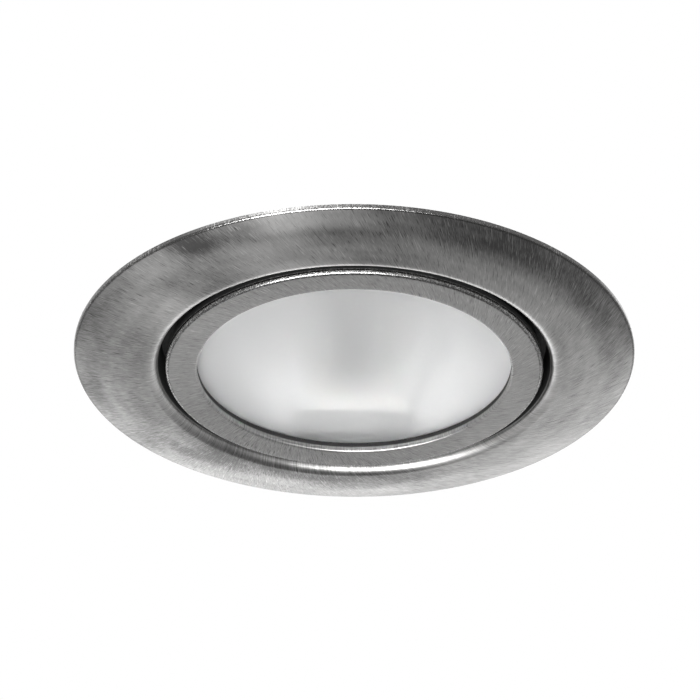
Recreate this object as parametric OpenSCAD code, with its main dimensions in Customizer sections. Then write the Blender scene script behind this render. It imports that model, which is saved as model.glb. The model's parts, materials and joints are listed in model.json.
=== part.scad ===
// Round recessed soffit downlight with a snap-in glass bezel and two sprung clips.
// Origin: centre of the trim flange's seat plane. +Z points up into the soffit.

/* [Trim flange] */
// Outer diameter of the flange
flange_d = 85; // [80:1:102]
// Diameter of the aperture that the bezel sits in
aperture_d = 59.4; // [49:0.1:62]
// Height of the flange's rim below the seat plane
rim_h = 0.7; // [0.6:0.02:1.2]
// Mean slope of the flange's front, in degrees
flange_slope = 13; // [11:0.5:13.5]
// How much flatter the front is at the lip, and steeper at the rim, in degrees
flange_curve = 6.5; // [0.5:0.5:7.5]
// Thickness of the flange's sheet
flange_t = 1.0; // [0.8:0.1:1.2]
// Rounding radius of the inner lip
lip_r = 1.6; // [1.2:0.1:1.8]
// Rounding radius of the outer edge
edge_r = 0.35; // [0.25:0.05:0.5]
// Width of the flat seat ring at the rim
seat_w = 2.8; // [2:0.1:4]
// Height of the neck above the seat plane
neck_h = 5.0; // [4.6:0.1:5.4]

/* [Bezel] */
// Gap all round between the bezel and the aperture
bezel_gap = 1.05; // [0.8:0.05:1.3]
// How far the bezel's face lies above the flange's lip
bezel_recess = 0.1; // [0:0.05:0.3]
// Width of the bezel's face, from its edge to its opening
bezel_face_w = 4.85; // [4:0.05:6]
// Depth of the bezel's face plate
bezel_face_t = 1.6; // [1.2:0.1:1.8]
// Wall of the bezel's skirt
skirt_t = 1.0; // [0.8:0.1:1.2]
// Thickness of the seal under the glass
seal_t = 0.3; // [0.2:0.1:0.5]
// Thickness of the glass
glass_t = 2.0; // [1.6:0.1:2.4]
// Wire diameter of the ring that holds the glass
retainer_wire_d = 1.0; // [0.8:0.1:1.1]
// Number of snap springs on the skirt
snap_count = 3; // [3:1:4]

/* [Housing] */
// Sheet thickness of the housing can
can_t = 0.7; // [0.5:0.1:0.9]
// Height of the can's roof above the seat plane
roof_z = 12.4; // [12.4:0.1:15]
// Diameter of the can's flat roof
roof_d = 44; // [43:0.5:46]
// Sheet thickness of the reflector
reflector_t = 0.4; // [0.3:0.1:0.5]

/* [Lamp] */
// Diameter of the lamp's glass capsule
capsule_d = 8.5; // [8:0.1:8.6]
// Length of the lamp from its tip to its base
lamp_l = 21; // [18:0.5:22]
// Spacing of the lamp's two pins
pin_pitch = 4; // [3.6:0.1:4.4]
// Length of the lamp's pins
pin_l = 7.5; // [6:0.1:8]
// How far the lamp holder's back corners stay in from the aperture
holder_inset = 5.2; // [5:0.1:7]
// Width of the lamp holder
holder_w = 14.4; // [13:0.1:14.8]
// Depth of the lamp holder along the lamp
holder_l = 10.8; // [10.4:0.1:11]

/* [Terminal cover] */
// Outer width of the terminal cover
cover_w = 24; // [23:0.5:25]
// Outer length of the terminal cover
cover_l = 30; // [29:0.5:30.5]
// Height of the terminal cover
cover_h = 7.2; // [7.2:0.1:8.4]
// Diameter of the supply cable that the grommet takes
cable_d = 3.8; // [3:0.1:4]

/* [Spring clips] */
// Width of a clip's arm
arm_w = 11.6; // [11:0.2:14]
// Length of a clip's arm from its pivot
arm_l = 6.8; // [6:0.1:7]
// Diameter of a clip's pivot pin
pivot_d = 2.0; // [1.6:0.1:2.2]
// Wire diameter of a clip's torsion spring
coil_wire_d = 0.7; // [0.5:0.05:0.7]

/* [Hidden] */
$fn = 96;

// Largest turn between two points of a rounded edge, in degrees
arc_step = 9;
// The same along the flange's front
front_step = 1;
// Overlap of a cutting tool past the face that it cuts
cut = 1;
// Play between a fixed pin or screw and its hole, on the radius
play = 0.05;

// Trim flange, in radius and height
flange_r = flange_d / 2;
aperture_r = aperture_d / 2;
neck_r = aperture_r + flange_t;
lip_slope = flange_slope - flange_curve;
rim_slope = flange_slope + flange_curve;
edge_c = [flange_r - edge_r, edge_r * (1 / cos(rim_slope) - tan(rim_slope)) - rim_h];
rim_end = edge_c + edge_r * [sin(rim_slope), -cos(rim_slope)];
lip_end_x = aperture_r + lip_r + lip_r * sin(lip_slope);
lip_end = [lip_end_x, rim_end[1] - (rim_end[0] - lip_end_x) * tan(flange_slope)];
lip_c = lip_end - lip_r * [sin(lip_slope), -cos(lip_slope)];
front_r = (rim_end[0] - lip_end[0]) / (sin(rim_slope) - sin(lip_slope));
front_c = lip_end - front_r * [sin(lip_slope), -cos(lip_slope)];
flange_drop = lip_r - lip_c[1];
seat_r = flange_r - seat_w;
rear_in_z = -(seat_r - neck_r) * tan(flange_slope);

// Bezel, in radius and height
bezel_r = aperture_r - bezel_gap;
opening_r = bezel_r - bezel_face_w;
bezel_z = bezel_recess - flange_drop;
face_back_z = bezel_z + bezel_face_t;
bezel_edge_r = 0.6;
opening_edge_r = 0.35;
snap_t = 0.3;
snap_play = 0.15;
snap_h = 2.8;
skirt_step = 1.25;
skirt_r = bezel_r - skirt_step;
skirt_in_r = skirt_r - skirt_t;
glass_play = 0.3;
glass_r = skirt_in_r - glass_play;
glass_z = face_back_z + seal_t;
glass_back_z = glass_z + glass_t;
retainer_z = glass_back_z + retainer_wire_d / 2;
groove_depth = 0.15;
retainer_r = skirt_in_r + groove_depth - retainer_wire_d / 2;
retainer_gap_angle = 30;
skirt_over = 0.7;
skirt_top_z = glass_back_z + retainer_wire_d + skirt_over;
snap_z = skirt_top_z - skirt_over - snap_h;
snap_flat_angle = 4;
snap_bow_angle = 15;
snap_end_angle = 20;
snap_start = 30;
snap_relax = 0.35;
snap_rivet_z = snap_z + snap_h / 2;
snap_rivet_r = 0.7;
snap_rivet_play = 0.02;

// Can, in radius and height
can_in_r = neck_r + 2 * play;
can_r = can_in_r + can_t;
can_bottom_z = 0.3;
roof_r = roof_d / 2;
shoulder_low_z = 4.9;
shoulder = [can_r - 0.9, shoulder_low_z + 1.3];
roof_in_z = roof_z - can_t;

// Reflector, in radius and height
rim_z = skirt_top_z;
rim_r = aperture_r - 0.4;
rim_in_r = skirt_r - 0.5;
reflector_foot_r = rim_in_r + 0.8;
reflector_top_z = roof_in_z;
reflector_top_r = roof_r - 1.4;

// Lamp and holder
capsule_r = capsule_d / 2;
capsule_wall = 0.6;
lamp_clear = 0.65;
lamp_z = glass_back_z + lamp_clear + capsule_r;
holder_y = sqrt(pow(aperture_r - holder_inset, 2) - pow(holder_w / 2, 2)) - holder_l;
lamp_base_y = holder_y - 0.3;
pinch_l = 7.3;
pinch_w = 8;
pinch_h = 3;
pin_r = 0.35;
pin_embed = 5.5;
support_r = 0.2;
wire_play = 0.02;
filament_y = lamp_base_y - 12.5;
filament_w = 3.4;
holder_z0 = lamp_z - 3.6;
holder_z1 = lamp_z + 3.1;
chamber_w = 1.8;
chamber_y0 = holder_y + 1.4;
chamber_y1 = holder_y + 8.4;
chamber_z0 = lamp_z - 1.2;
leaf_t = 0.3;
leaf_gap = 0.05;
lead_y = holder_y + 2.9;
lead_x = pin_pitch / 2;
lead_r = 0.75;
core_r = 0.45;
crimp_r = 0.95;
crimp_z = holder_z1 + 0.8;

// Holder strap
strap_t = 0.5;
strap_x = holder_w / 2 + 0.3;
strap_y0 = holder_y + 4;
strap_y1 = holder_y + holder_l + strap_t;
beside_cover = 2.6;
foot = [cover_w / 2 + beside_cover, 9.2];
foot_w = 5;
foot_z = reflector_top_z - reflector_t;
m25_r = 1.25;
screw_head_r = 2.3;
screw_head_h = 1.3;
nut_r = 2.5;
nut_h = 1.8;

// Terminals, on the roof
lead_hole_r = 3.1;
lead_lip_r = 3.7;
lead_lip_h = 0.8;
cover_wall = 1.1;
cover_y1 = lead_y + lead_lip_r + 0.2 + cover_wall;
cover_y0 = cover_y1 - cover_l;
cover_corner_r = 8;
ear = [cover_w / 2 + beside_cover, -0.5];
ear_r = 2.3;
ear_h = 2;
cover_screw_r = 1.0;
block_w = 13;
block_l = 11;
block_y1 = lead_y - lead_lip_r - 2.8;
block_y0 = block_y1 - block_l;
block_z0 = roof_z;
block_z1 = block_z0 + 5.6;
pole_x = 3.3;
pole_z = block_z0 + 2.6;
insert_r = 1.7;
insert_bore_r = 0.95;
insert_y = [block_y0 + 1.4, block_y1 - 1.6];
terminal_screw_y = [insert_y[0] + 1.8, insert_y[1] - 1.8];
terminal_screw_r = 1.0;
block_screw_y = (block_y0 + block_y1) / 2;
block_screw_r = 1.0;
block_sink_r = 1.55;
block_sink_h = 1.6;
lead_end_y = block_y1 - 1.1;
cable_r = cable_d / 2;
cable_z = roof_z + 3.05;
grommet_lip_t = 1.2;
grommet_lip_r = 3.0;
grommet_neck_r = 2.5;

// Spring clips, drawn on the right side and mirrored to the left
pivot = [can_r + 3.15, 5.2];
pivot_r = pivot_d / 2;
arm_tilt = 6;
arm_t = 0.8;
arm_under = -1.0;
arm_top = arm_under + arm_t;
plate_x0 = 1.5;
plate_x1 = arm_l - 0.9;
sleeve_x0 = arm_l - 2.6;
bracket_t = 0.7;
bracket_x = can_r + play;
ear_gap = 0.2;
bracket_w = arm_w + 2 * ear_gap + 2 * bracket_t;
hinge_r = 1.8;
rivet_y = 3.9;
rivet_z = 1.85;
rivet_r = 0.8;
coil_r = 1.75;
coil_pitch = coil_wire_d + 0.45;
coil_turns = 3.25;
coil_rings = 8;
coil_sides = 6;

// Least gap of a torsion spring's wire to itself, from the points of its turns
coil_points = [
  for (i = [0:round(coil_turns * coil_rings)]) coil_point(i / coil_rings)
];
coil_gap = min([
  for (i = [0:len(coil_points) - 1], j = [i + coil_rings / 2:1:len(coil_points) - 1])
    norm(coil_points[i] - coil_points[j])
]) - coil_wire_d;
echo(clip_spring_least_gap_mm = coil_gap);

// ---- shared shapes ----

// Points along an arc about c, from angle a0 to angle a1
function arc(c, r, a0, a1, step = arc_step) =
  let (steps = ceil(abs(a1 - a0) / step))
  [for (i = [0:steps]) let (a = a0 + (a1 - a0) * i / steps) c + r * [cos(a), sin(a)]];

// A ring of rectangular section
module ring(r_in, r_out, z0, z1) {
  difference() {
    translate([0, 0, z0]) cylinder(r = r_out, h = z1 - z0);
    translate([0, 0, z0 - cut]) cylinder(r = r_in, h = z1 - z0 + 2 * cut);
  }
}

// A box from its lowest corner to its highest corner
module block(p0, p1) {
  translate(p0) cube(p1 - p0);
}

// A cylinder along Y, from y0 to y1
module along_y(x, z, r, y0, y1) {
  translate([x, y1, z]) rotate([90, 0, 0]) cylinder(r = r, h = y1 - y0);
}

// A cylinder along X, from x0 to x1
module along_x(y, z, r, x0, x1) {
  translate([x0, y, z]) rotate([0, 90, 0]) cylinder(r = r, h = x1 - x0);
}

// An upright cylinder from z0 to z1
module upright(x, y, r, z0, z1) {
  translate([x, y, z0]) cylinder(r = r, h = z1 - z0);
}

// A rectangle with round corners, from its lowest to its highest corner
module round_rect(p0, p1, r) {
  translate([p0[0] + r, p0[1]]) square([p1[0] - p0[0] - 2 * r, p1[1] - p0[1]]);
  translate([p0[0], p0[1] + r]) square([p1[0] - p0[0], p1[1] - p0[1] - 2 * r]);
  for (x = [p0[0] + r, p1[0] - r], y = [p0[1] + r, p1[1] - r]) translate([x, y]) circle(r);
}

// A pan-head screw that points up, with its head's underside at z
module screw_up(x, y, z, r, head_r, head_h, length) {
  slot_w = 0.5;
  slot_l = head_r * 1.4;
  slot_h = head_h * 0.9;
  difference() {
    upright(x, y, head_r, z - head_h, z);
    translate([x, y, z - head_h]) cube([slot_w, slot_l, slot_h], center = true);
    translate([x, y, z - head_h]) cube([slot_l, slot_w, slot_h], center = true);
  }
  upright(x, y, r, z, z + length);
}

// The same screw, pointing down
module screw_down(x, y, z, r, head_r, head_h, length) {
  translate([x, y, z]) mirror([0, 0, 1]) screw_up(0, 0, 0, r, head_r, head_h, length);
}

function unit(v) = v / norm(v);

// A direction of travel at point i of a route
function heading(p, i) = unit(p[min(i + 1, len(p) - 1)] - p[max(i - 1, 0)]);

// A side direction carried along the route, so that the tube doesn't twist
function carried(p, i, side) =
  i == 0
    ? unit(side - (side * heading(p, 0)) * heading(p, 0))
    : let (u = carried(p, i - 1, side), h = heading(p, i)) unit(u - (u * h) * h);

// A round tube along a route of points, with flat ends
module tube_along(p, r, sides, side) {
  rings = [
    for (i = [0:len(p) - 1])
      let (h = heading(p, i), u = carried(p, i, side), v = cross(h, u))
        for (k = [0:sides - 1])
          p[i] + r * (cos(360 * k / sides) * u + sin(360 * k / sides) * v)
  ];
  last = (len(p) - 1) * sides;
  walls = [
    for (i = [0:len(p) - 2], k = [0:sides - 1])
      let (a = i * sides + k, b = i * sides + (k + 1) % sides)
        each [[a, a + sides, b], [b, a + sides, b + sides]]
  ];
  caps = [
    for (k = [1:sides - 2]) each [[0, k, k + 1], [last, last + k + 1, last + k]]
  ];
  polyhedron(points = rings, faces = concat(walls, caps));
}

// ---- trim and housing ----

module trim_flange() {
  color("#8d8c8a")
    difference() {
      rotate_extrude()
        polygon(concat(
          [[neck_r, rear_in_z], [neck_r, neck_h], [aperture_r, neck_h]],
          arc(lip_c, lip_r, 180, 270 + lip_slope),
          arc(front_c, front_r, 270 + lip_slope + front_step, 270 + rim_slope - front_step, front_step),
          arc(edge_c, edge_r, 270 + rim_slope, 360),
          [[flange_r, 0], [seat_r, 0]]
        ));
      for (side = [-1, 1], y = [-rivet_y, rivet_y])
        on_side(side) along_x(y, rivet_z, rivet_r + play, aperture_r - cut, can_r);
    }
}

// Puts a shape of the right side on the side asked for
module on_side(side) {
  if (side > 0) children();
  else mirror([1, 0, 0]) children();
}

// A foam ring in the flange's hollow rear, which stands proud until the soffit presses it
module flange_gasket() {
  in_r = neck_r + 2.4;
  out_r = seat_r - 0.9;
  proud = 0.3;
  glue_t = 0.02;
  color("#2b2b2b")
    rotate_extrude()
      polygon([
        [in_r, proud], [out_r, proud],
        [out_r, glue_t - (seat_r - out_r) * tan(flange_slope)],
        [in_r, glue_t - (seat_r - in_r) * tan(flange_slope)]
      ]);
}

// The can's outline drawn in by a wall, from its bottom edge at z0
function can_outline(wall, z0) = [
  [0, z0], [can_r - wall, z0], [can_r - wall, shoulder_low_z],
  [shoulder[0] - wall, shoulder[1] - wall * 0.4], [roof_r - wall * 0.35, roof_z - wall],
  [0, roof_z - wall]
];

module housing_can() {
  color("#b9bcbf")
    difference() {
      rotate_extrude() polygon(can_outline(0, can_bottom_z));
      rotate_extrude() polygon(can_outline(can_t, can_bottom_z - cut));
      for (side = [-1, 1]) {
        upright(side * foot[0], foot[1], m25_r + play, roof_in_z - cut, roof_z + cut);
        upright(side * ear[0], ear[1], cover_screw_r + play, roof_in_z - cut, roof_z + cut);
        for (y = [-rivet_y, rivet_y])
          on_side(side) along_x(y, rivet_z, rivet_r + play, aperture_r, can_r + cut);
      }
      upright(0, lead_y, lead_hole_r, roof_in_z - cut, roof_z + cut);
      upright(0, block_screw_y, block_screw_r + play, roof_in_z - cut, roof_z + cut);
    }
}

// A spun tray with a rim, cut away for the holder and its strap
module reflector() {
  gap = 0.4;
  lip_gap = 0.2;
  wall_t = reflector_t * 1.5;
  color("#d9dadb")
    difference() {
      rotate_extrude()
        polygon([
          [rim_in_r, rim_z], [rim_r, rim_z], [rim_r, rim_z + reflector_t],
          [reflector_foot_r, rim_z + reflector_t], [reflector_top_r, reflector_top_z],
          [0, reflector_top_z], [0, foot_z], [reflector_top_r - reflector_t, foot_z],
          [reflector_foot_r - wall_t, rim_z + reflector_t], [rim_in_r, rim_z + reflector_t]
        ]);
      block(
        [-strap_x - strap_t - gap, holder_y - 2, rim_z + reflector_t],
        [strap_x + strap_t + gap, aperture_r, crimp_z + gap]
      );
      for (side = [-1, 1]) {
        upright(side * foot[0], foot[1], m25_r + play, foot_z - cut, roof_z);
        upright(side * ear[0], ear[1], cover_screw_r + gap, foot_z - cut, roof_z);
      }
      upright(0, lead_y, lead_lip_r + lip_gap, foot_z - cut, roof_z);
      upright(0, block_screw_y, block_screw_r + gap, foot_z - cut, roof_z);
    }
}

// ---- lamp holder ----

module lamp_holder() {
  corner_r = 0.8;
  pin_gap = 0.15;
  crimp_seat = 0.6;
  color("#f1efe8")
    difference() {
      translate([0, 0, holder_z0])
        linear_extrude(holder_z1 - holder_z0)
          round_rect([-holder_w / 2, holder_y], [holder_w / 2, holder_y + holder_l], corner_r);
      for (x = [-pin_pitch / 2, pin_pitch / 2]) {
        along_y(x, lamp_z, pin_r + pin_gap, holder_y - cut, chamber_y0 + cut);
        block(
          [x - chamber_w / 2, chamber_y0, chamber_z0],
          [x + chamber_w / 2, chamber_y1, holder_z1 + cut]
        );
        upright(x, lead_y, crimp_r + play, holder_z1 - crimp_seat, holder_z1 + cut);
      }
    }
}

// Two folded contacts: a leaf on each side of the pin, joined above it, with a crimp on top
module holder_contacts() {
  inner = pin_r + leaf_gap;
  outer = inner + leaf_t;
  gap = 0.2;
  neck_l = 0.3;
  bridge_z = lamp_z + 2;
  bridge_top = bridge_z + leaf_t;
  color("#c9b26a")
    for (x = [-pin_pitch / 2, pin_pitch / 2]) {
      for (leaf_x = [x - outer, x + inner])
        block(
          [leaf_x, chamber_y0 + gap, chamber_z0 + gap],
          [leaf_x + leaf_t, chamber_y1 - gap, bridge_z]
        );
      block([x - outer, chamber_y0 + gap, bridge_z], [x + outer, chamber_y1 - gap, bridge_top]);
      upright(x, lead_y, crimp_r, bridge_top + neck_l, crimp_z);
      upright(x, lead_y, core_r, bridge_top, bridge_top + neck_l);
    }
}

// A strap under the holder, with side plates up to two screwed feet
module holder_bracket() {
  plate_z = holder_z0 - strap_t;
  arm_y1 = foot[1] + foot_w / 2;
  arm_y0 = foot[1] - foot_w / 2;
  foot_x = foot[0] - 0.01;
  lip_h = 1.6;
  tab_w = 1.6;
  tab_l = 3;
  tab_y = strap_y0 + 0.6;
  neck = [arm_y1 + 2, holder_z1 + 1.4];
  back_corner_z = holder_z1 - 1;
  color("#a5a8ab") {
    difference() {
      union() {
        block([-strap_x - strap_t, strap_y0, plate_z], [strap_x + strap_t, strap_y1, holder_z0]);
        block(
          [-strap_x - strap_t, holder_y + holder_l, plate_z],
          [strap_x + strap_t, strap_y1, holder_z0 + lip_h]
        );
        for (side = [-1, 1]) on_side(side) {
          translate([strap_x, 0, 0])
            rotate([90, 0, 90])
              linear_extrude(strap_t)
                polygon([
                  [strap_y0, plate_z], [strap_y1, plate_z], [strap_y1, back_corner_z],
                  neck, [arm_y1, foot_z], [arm_y0, foot_z], [arm_y0, foot_z - 1.4]
                ]);
          block([strap_x, arm_y0, foot_z - strap_t], [foot_x, arm_y1, foot_z]);
          upright(foot_x, foot[1], foot_w / 2, foot_z - strap_t, foot_z);
          block(
            [strap_x - tab_w, tab_y, holder_z1],
            [strap_x, tab_y + tab_l, holder_z1 + strap_t]
          );
        }
      }
      for (side = [-1, 1])
        upright(side * foot[0], foot[1], m25_r + play, foot_z - strap_t - cut, foot_z + cut);
    }
  }
}

module holder_screws() {
  past_nut = 0.3;
  reach = roof_z + nut_h + past_nut - (foot_z - strap_t);
  color("#c4c6c8")
    for (side = [-1, 1])
      screw_up(
        side * foot[0], foot[1], foot_z - strap_t, m25_r, screw_head_r, screw_head_h, reach
      );
}

module holder_nuts() {
  color("#c4c6c8")
    for (side = [-1, 1])
      translate([side * foot[0], foot[1], roof_z])
        difference() {
          rotate(30) cylinder(r = nut_r, h = nut_h, $fn = 6);
          translate([0, 0, -cut]) cylinder(r = m25_r + play, h = nut_h + 2 * cut);
        }
}

// ---- leads and terminals ----

// The route of the right-hand lead, from the holder's crimp to the terminal's mouth
function lead_route() =
  let (
    start = [lead_x, lead_y, crimp_z],
    rise = [lead_x, lead_y, roof_z + 0.2],
    pull_up = [lead_x, lead_y, pole_z + 0.7],
    pull_in = [pole_x, block_y1 + 3.6, pole_z],
    end = [pole_x, lead_end_y, pole_z],
    before_end = end + [0, 1.2, 0]
  )
  concat(
    [for (t = [0:0.25:0.75]) start + t * (rise - start)],
    [
      for (t = [0:0.1:1])
        pow(1 - t, 3) * rise + 3 * pow(1 - t, 2) * t * pull_up
        + 3 * (1 - t) * t * t * pull_in + pow(t, 3) * before_end
    ],
    [end]
  );

// One insulated lead with its bare end in the terminal
module lead() {
  sides = 8;
  bare_l = 3.5;
  tube_along(lead_route(), lead_r, sides, [1, 0, 0]);
  along_y(pole_x, pole_z, core_r, lead_end_y - bare_l, lead_end_y);
}

module lead_right() {
  color("#e9e6de") lead();
}

module lead_left() {
  color("#e9e6de") mirror([1, 0, 0]) lead();
}

// A lip on each side of the roof, a neck in the roof's hole and a hole for each lead
module lead_grommet() {
  z0 = roof_in_z - lead_lip_h;
  z1 = roof_z + lead_lip_h;
  color("#303030")
    difference() {
      union() {
        upright(0, lead_y, lead_lip_r, z0, roof_in_z);
        upright(0, lead_y, lead_hole_r - play, roof_in_z, roof_z);
        upright(0, lead_y, lead_lip_r, roof_z, z1);
      }
      for (x = [-lead_x, lead_x]) upright(x, lead_y, lead_r + play, z0 - cut, z1 + cut);
    }
}

module terminal_block() {
  well_r = 1.35;
  color("#e4e2da")
    difference() {
      block([-block_w / 2, block_y0, block_z0], [block_w / 2, block_y1, block_z1]);
      for (x = [-pole_x, pole_x]) {
        along_y(x, pole_z, insert_r + play, insert_y[0], insert_y[1]);
        along_y(x, pole_z, insert_bore_r, block_y0 - cut, block_y1 + cut);
        for (y = terminal_screw_y) upright(x, y, well_r, pole_z, block_z1 + cut);
      }
      upright(0, block_screw_y, block_screw_r + play, block_z0 - cut, block_z1 + cut);
      upright(0, block_screw_y, block_sink_r, block_z1 - block_sink_h, block_z1 + cut);
    }
}

module terminal_inserts() {
  end_gap = 0.1;
  color("#c8a04a")
    for (x = [-pole_x, pole_x])
      difference() {
        along_y(x, pole_z, insert_r, insert_y[0] + end_gap, insert_y[1] - end_gap);
        along_y(x, pole_z, insert_bore_r, insert_y[0] - cut, insert_y[1] + cut);
        for (y = terminal_screw_y) upright(x, y, terminal_screw_r + play, pole_z, block_z1);
      }
}

// Grub screws, each clear of the lead's core by a hair
module terminal_screws() {
  core_gap = 0.1;
  top_z = block_z1 - 0.5;
  slot = [0.4, 3, 0.8];
  color("#c4c6c8")
    for (x = [-pole_x, pole_x], y = terminal_screw_y)
      difference() {
        upright(x, y, terminal_screw_r, pole_z + core_r + core_gap, top_z);
        translate([x, y, top_z]) cube(slot, center = true);
      }
}

module block_screw() {
  head_r = block_sink_r - 0.1;
  head_h = 1.1;
  head_z = block_z1 - block_sink_h;
  reach = head_z - roof_in_z + 0.4;
  color("#c4c6c8") screw_down(0, block_screw_y, head_z, block_screw_r, head_r, head_h, reach);
}

module terminal_cover() {
  ear_root = cover_w / 2 - 0.5;
  color("#2f3133")
    difference() {
      union() {
        translate([0, 0, roof_z])
          linear_extrude(cover_h)
            round_rect([-cover_w / 2, cover_y0], [cover_w / 2, cover_y1], cover_corner_r);
        for (side = [-1, 1]) {
          upright(side * ear[0], ear[1], ear_r, roof_z, roof_z + ear_h);
          on_side(side)
            block([ear_root, ear[1] - ear_r, roof_z], [ear[0], ear[1] + ear_r, roof_z + ear_h]);
        }
      }
      translate([0, 0, roof_z - cut])
        linear_extrude(cover_h - cover_wall + cut)
          round_rect(
            [cover_wall - cover_w / 2, cover_y0 + cover_wall],
            [cover_w / 2 - cover_wall, cover_y1 - cover_wall],
            cover_corner_r - cover_wall
          );
      for (side = [-1, 1])
        upright(side * ear[0], ear[1], cover_screw_r + play, roof_z - cut, roof_z + ear_h + cut);
      along_y(0, cable_z, grommet_neck_r + play, cover_y0 - cut, cover_y0 + cover_wall + cut);
    }
}

module cover_screws() {
  head_r = 1.9;
  head_h = 1.0;
  reach = ear_h + can_t + 0.3;
  color("#c4c6c8")
    for (side = [-1, 1])
      screw_down(side * ear[0], ear[1], roof_z + ear_h, cover_screw_r, head_r, head_h, reach);
}

module cable_grommet() {
  wall_y = cover_y0 + cover_wall;
  color("#26272a")
    translate([0, wall_y + grommet_lip_t, cable_z])
      rotate([90, 0, 0])
        rotate_extrude()
          polygon([
            [cable_r, 0], [grommet_lip_r, 0], [grommet_lip_r, grommet_lip_t],
            [grommet_neck_r, grommet_lip_t], [grommet_neck_r, grommet_lip_t + cover_wall],
            [grommet_lip_r, grommet_lip_t + cover_wall],
            [grommet_lip_r, 2 * grommet_lip_t + cover_wall],
            [cable_r, 2 * grommet_lip_t + cover_wall]
          ]);
}

// ---- spring clips, on the right side ----

// A riveted base with two ears for the pin, and two tongues that stop the arm
module clip_bracket() {
  base_top = 5.4;
  base_z = 0.7;
  tongue_z = pivot[1] - 2;
  tongue_w = 1.3;
  tongue_y = 3.0;
  tongue_end = pivot[0] + 2.2;
  pin_play = 0.03;
  ear_y = bracket_w / 2 - bracket_t;
  color("#b4b6b8")
    difference() {
      union() {
        block(
          [bracket_x, -bracket_w / 2, base_z],
          [bracket_x + bracket_t, bracket_w / 2, base_top]
        );
        for (y = [-bracket_w / 2, ear_y])
          translate([0, y + bracket_t, 0])
            rotate([90, 0, 0])
              linear_extrude(bracket_t) {
                polygon([
                  [bracket_x, base_z], [bracket_x + 1.6, base_z],
                  [pivot[0] + hinge_r, pivot[1] - 0.6], [pivot[0] + hinge_r, pivot[1]],
                  [pivot[0], pivot[1] + hinge_r], [bracket_x, base_top]
                ]);
                translate(pivot) circle(hinge_r);
              }
        for (y = [-tongue_y - tongue_w, tongue_y])
          block([bracket_x, y, tongue_z], [tongue_end, y + tongue_w, tongue_z + bracket_t]);
      }
      along_y(pivot[0], pivot[1], pivot_r + pin_play, -bracket_w, bracket_w);
      for (y = [-rivet_y, rivet_y])
        along_x(y, rivet_z, rivet_r + play, can_r - cut, bracket_x + bracket_t + cut);
    }
}

module clip_bracket_right() {
  clip_bracket();
}

module clip_bracket_left() {
  mirror([1, 0, 0]) clip_bracket();
}

// Two rivets a side, flush inside the neck and headed outside the bracket
module bracket_rivets() {
  head_h = 0.7;
  head_r = 1.3;
  seat_x = bracket_x + bracket_t;
  color("#9a9c9e")
    for (side = [-1, 1], y = [-rivet_y, rivet_y])
      on_side(side) {
        along_x(y, rivet_z, rivet_r, aperture_r + 0.1, seat_x);
        along_x(y, rivet_z, head_r, seat_x, seat_x + head_h);
      }
}

module clip_pin() {
  head_t = 0.6;
  head_r = pivot_r + 0.5;
  half_l = bracket_w / 2 + play;
  color("#c9cbcd") {
    along_y(pivot[0], pivot[1], pivot_r, -half_l, half_l);
    for (y = [-half_l - head_t, half_l]) along_y(pivot[0], pivot[1], head_r, y, y + head_t);
  }
}

module clip_pin_right() {
  clip_pin();
}

module clip_pin_left() {
  mirror([1, 0, 0]) clip_pin();
}

// A point on the coil's centre line after a number of turns
function coil_point(turn) =
  let (a = 180 - 360 * turn)
  [
    pivot[0] + coil_r * cos(a),
    coil_pitch * (turn - coil_turns / 2),
    pivot[1] + coil_r * sin(a)
  ];

// The coil with its two legs: one down the bracket's base, one out over the arm
module clip_spring() {
  leg_y = coil_pitch * coil_turns / 2;
  leg_foot_z = 1.3;
  leg_reach = 3.5;
  leg_bow = 0.9;
  arm_gap = 0.1;
  leg_end = [
    pivot[0] + leg_reach, leg_y,
    pivot[1] + arm_top - leg_reach * tan(arm_tilt) + coil_wire_d / 2 + arm_gap
  ];
  start = coil_point(0);
  finish = coil_point(coil_turns);
  leg_foot = [start[0], -leg_y, leg_foot_z];
  below_coil = start - [0, 0, 0.3];
  route = concat(
    [for (t = [0:0.34:1]) leg_foot + t * (below_coil - leg_foot)],
    coil_points,
    [
      for (t = [0.12, 0.3, 0.55, 0.8, 1])
        finish + t * (leg_end - finish) + [0, 0, leg_bow * t * (1 - t)]
    ]
  );
  color("#8f9194") tube_along(route, coil_wire_d / 2, coil_sides, [0, 1, 0]);
}

module clip_spring_right() {
  clip_spring();
}

module clip_spring_left() {
  mirror([1, 0, 0]) clip_spring();
}

// Puts a shape drawn about the pivot, with the arm along +X, in its place at rest
module at_pivot() {
  translate([pivot[0], 0, pivot[1]]) rotate([0, arm_tilt, 0]) children();
}

// A plate with two cheeks about the pin, notched for the coil
module clip_arm() {
  notch_x = coil_r + coil_wire_d / 2 + 0.3;
  notch_w = coil_pitch * coil_turns + coil_wire_d + 0.8;
  cheek_x = plate_x0 + 1.4;
  color("#a9abad")
    at_pivot() {
      difference() {
        union() {
          block([plate_x0, -arm_w / 2, arm_under], [plate_x1, arm_w / 2, arm_top]);
          for (y = [-arm_w / 2, arm_w / 2 - arm_t])
            translate([0, y + arm_t, 0])
              rotate([90, 0, 0])
                linear_extrude(arm_t) {
                  circle(hinge_r);
                  polygon([
                    [0, arm_under], [cheek_x, arm_under], [cheek_x, arm_top],
                    [hinge_r, 0], [0, hinge_r]
                  ]);
                }
        }
        along_y(0, 0, pivot_r + play, -arm_w, arm_w);
        block([0, -notch_w / 2, arm_under - cut], [notch_x, notch_w / 2, arm_top + cut]);
      }
    }
}

module clip_arm_right() {
  clip_arm();
}

module clip_arm_left() {
  mirror([1, 0, 0]) clip_arm();
}

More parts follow.
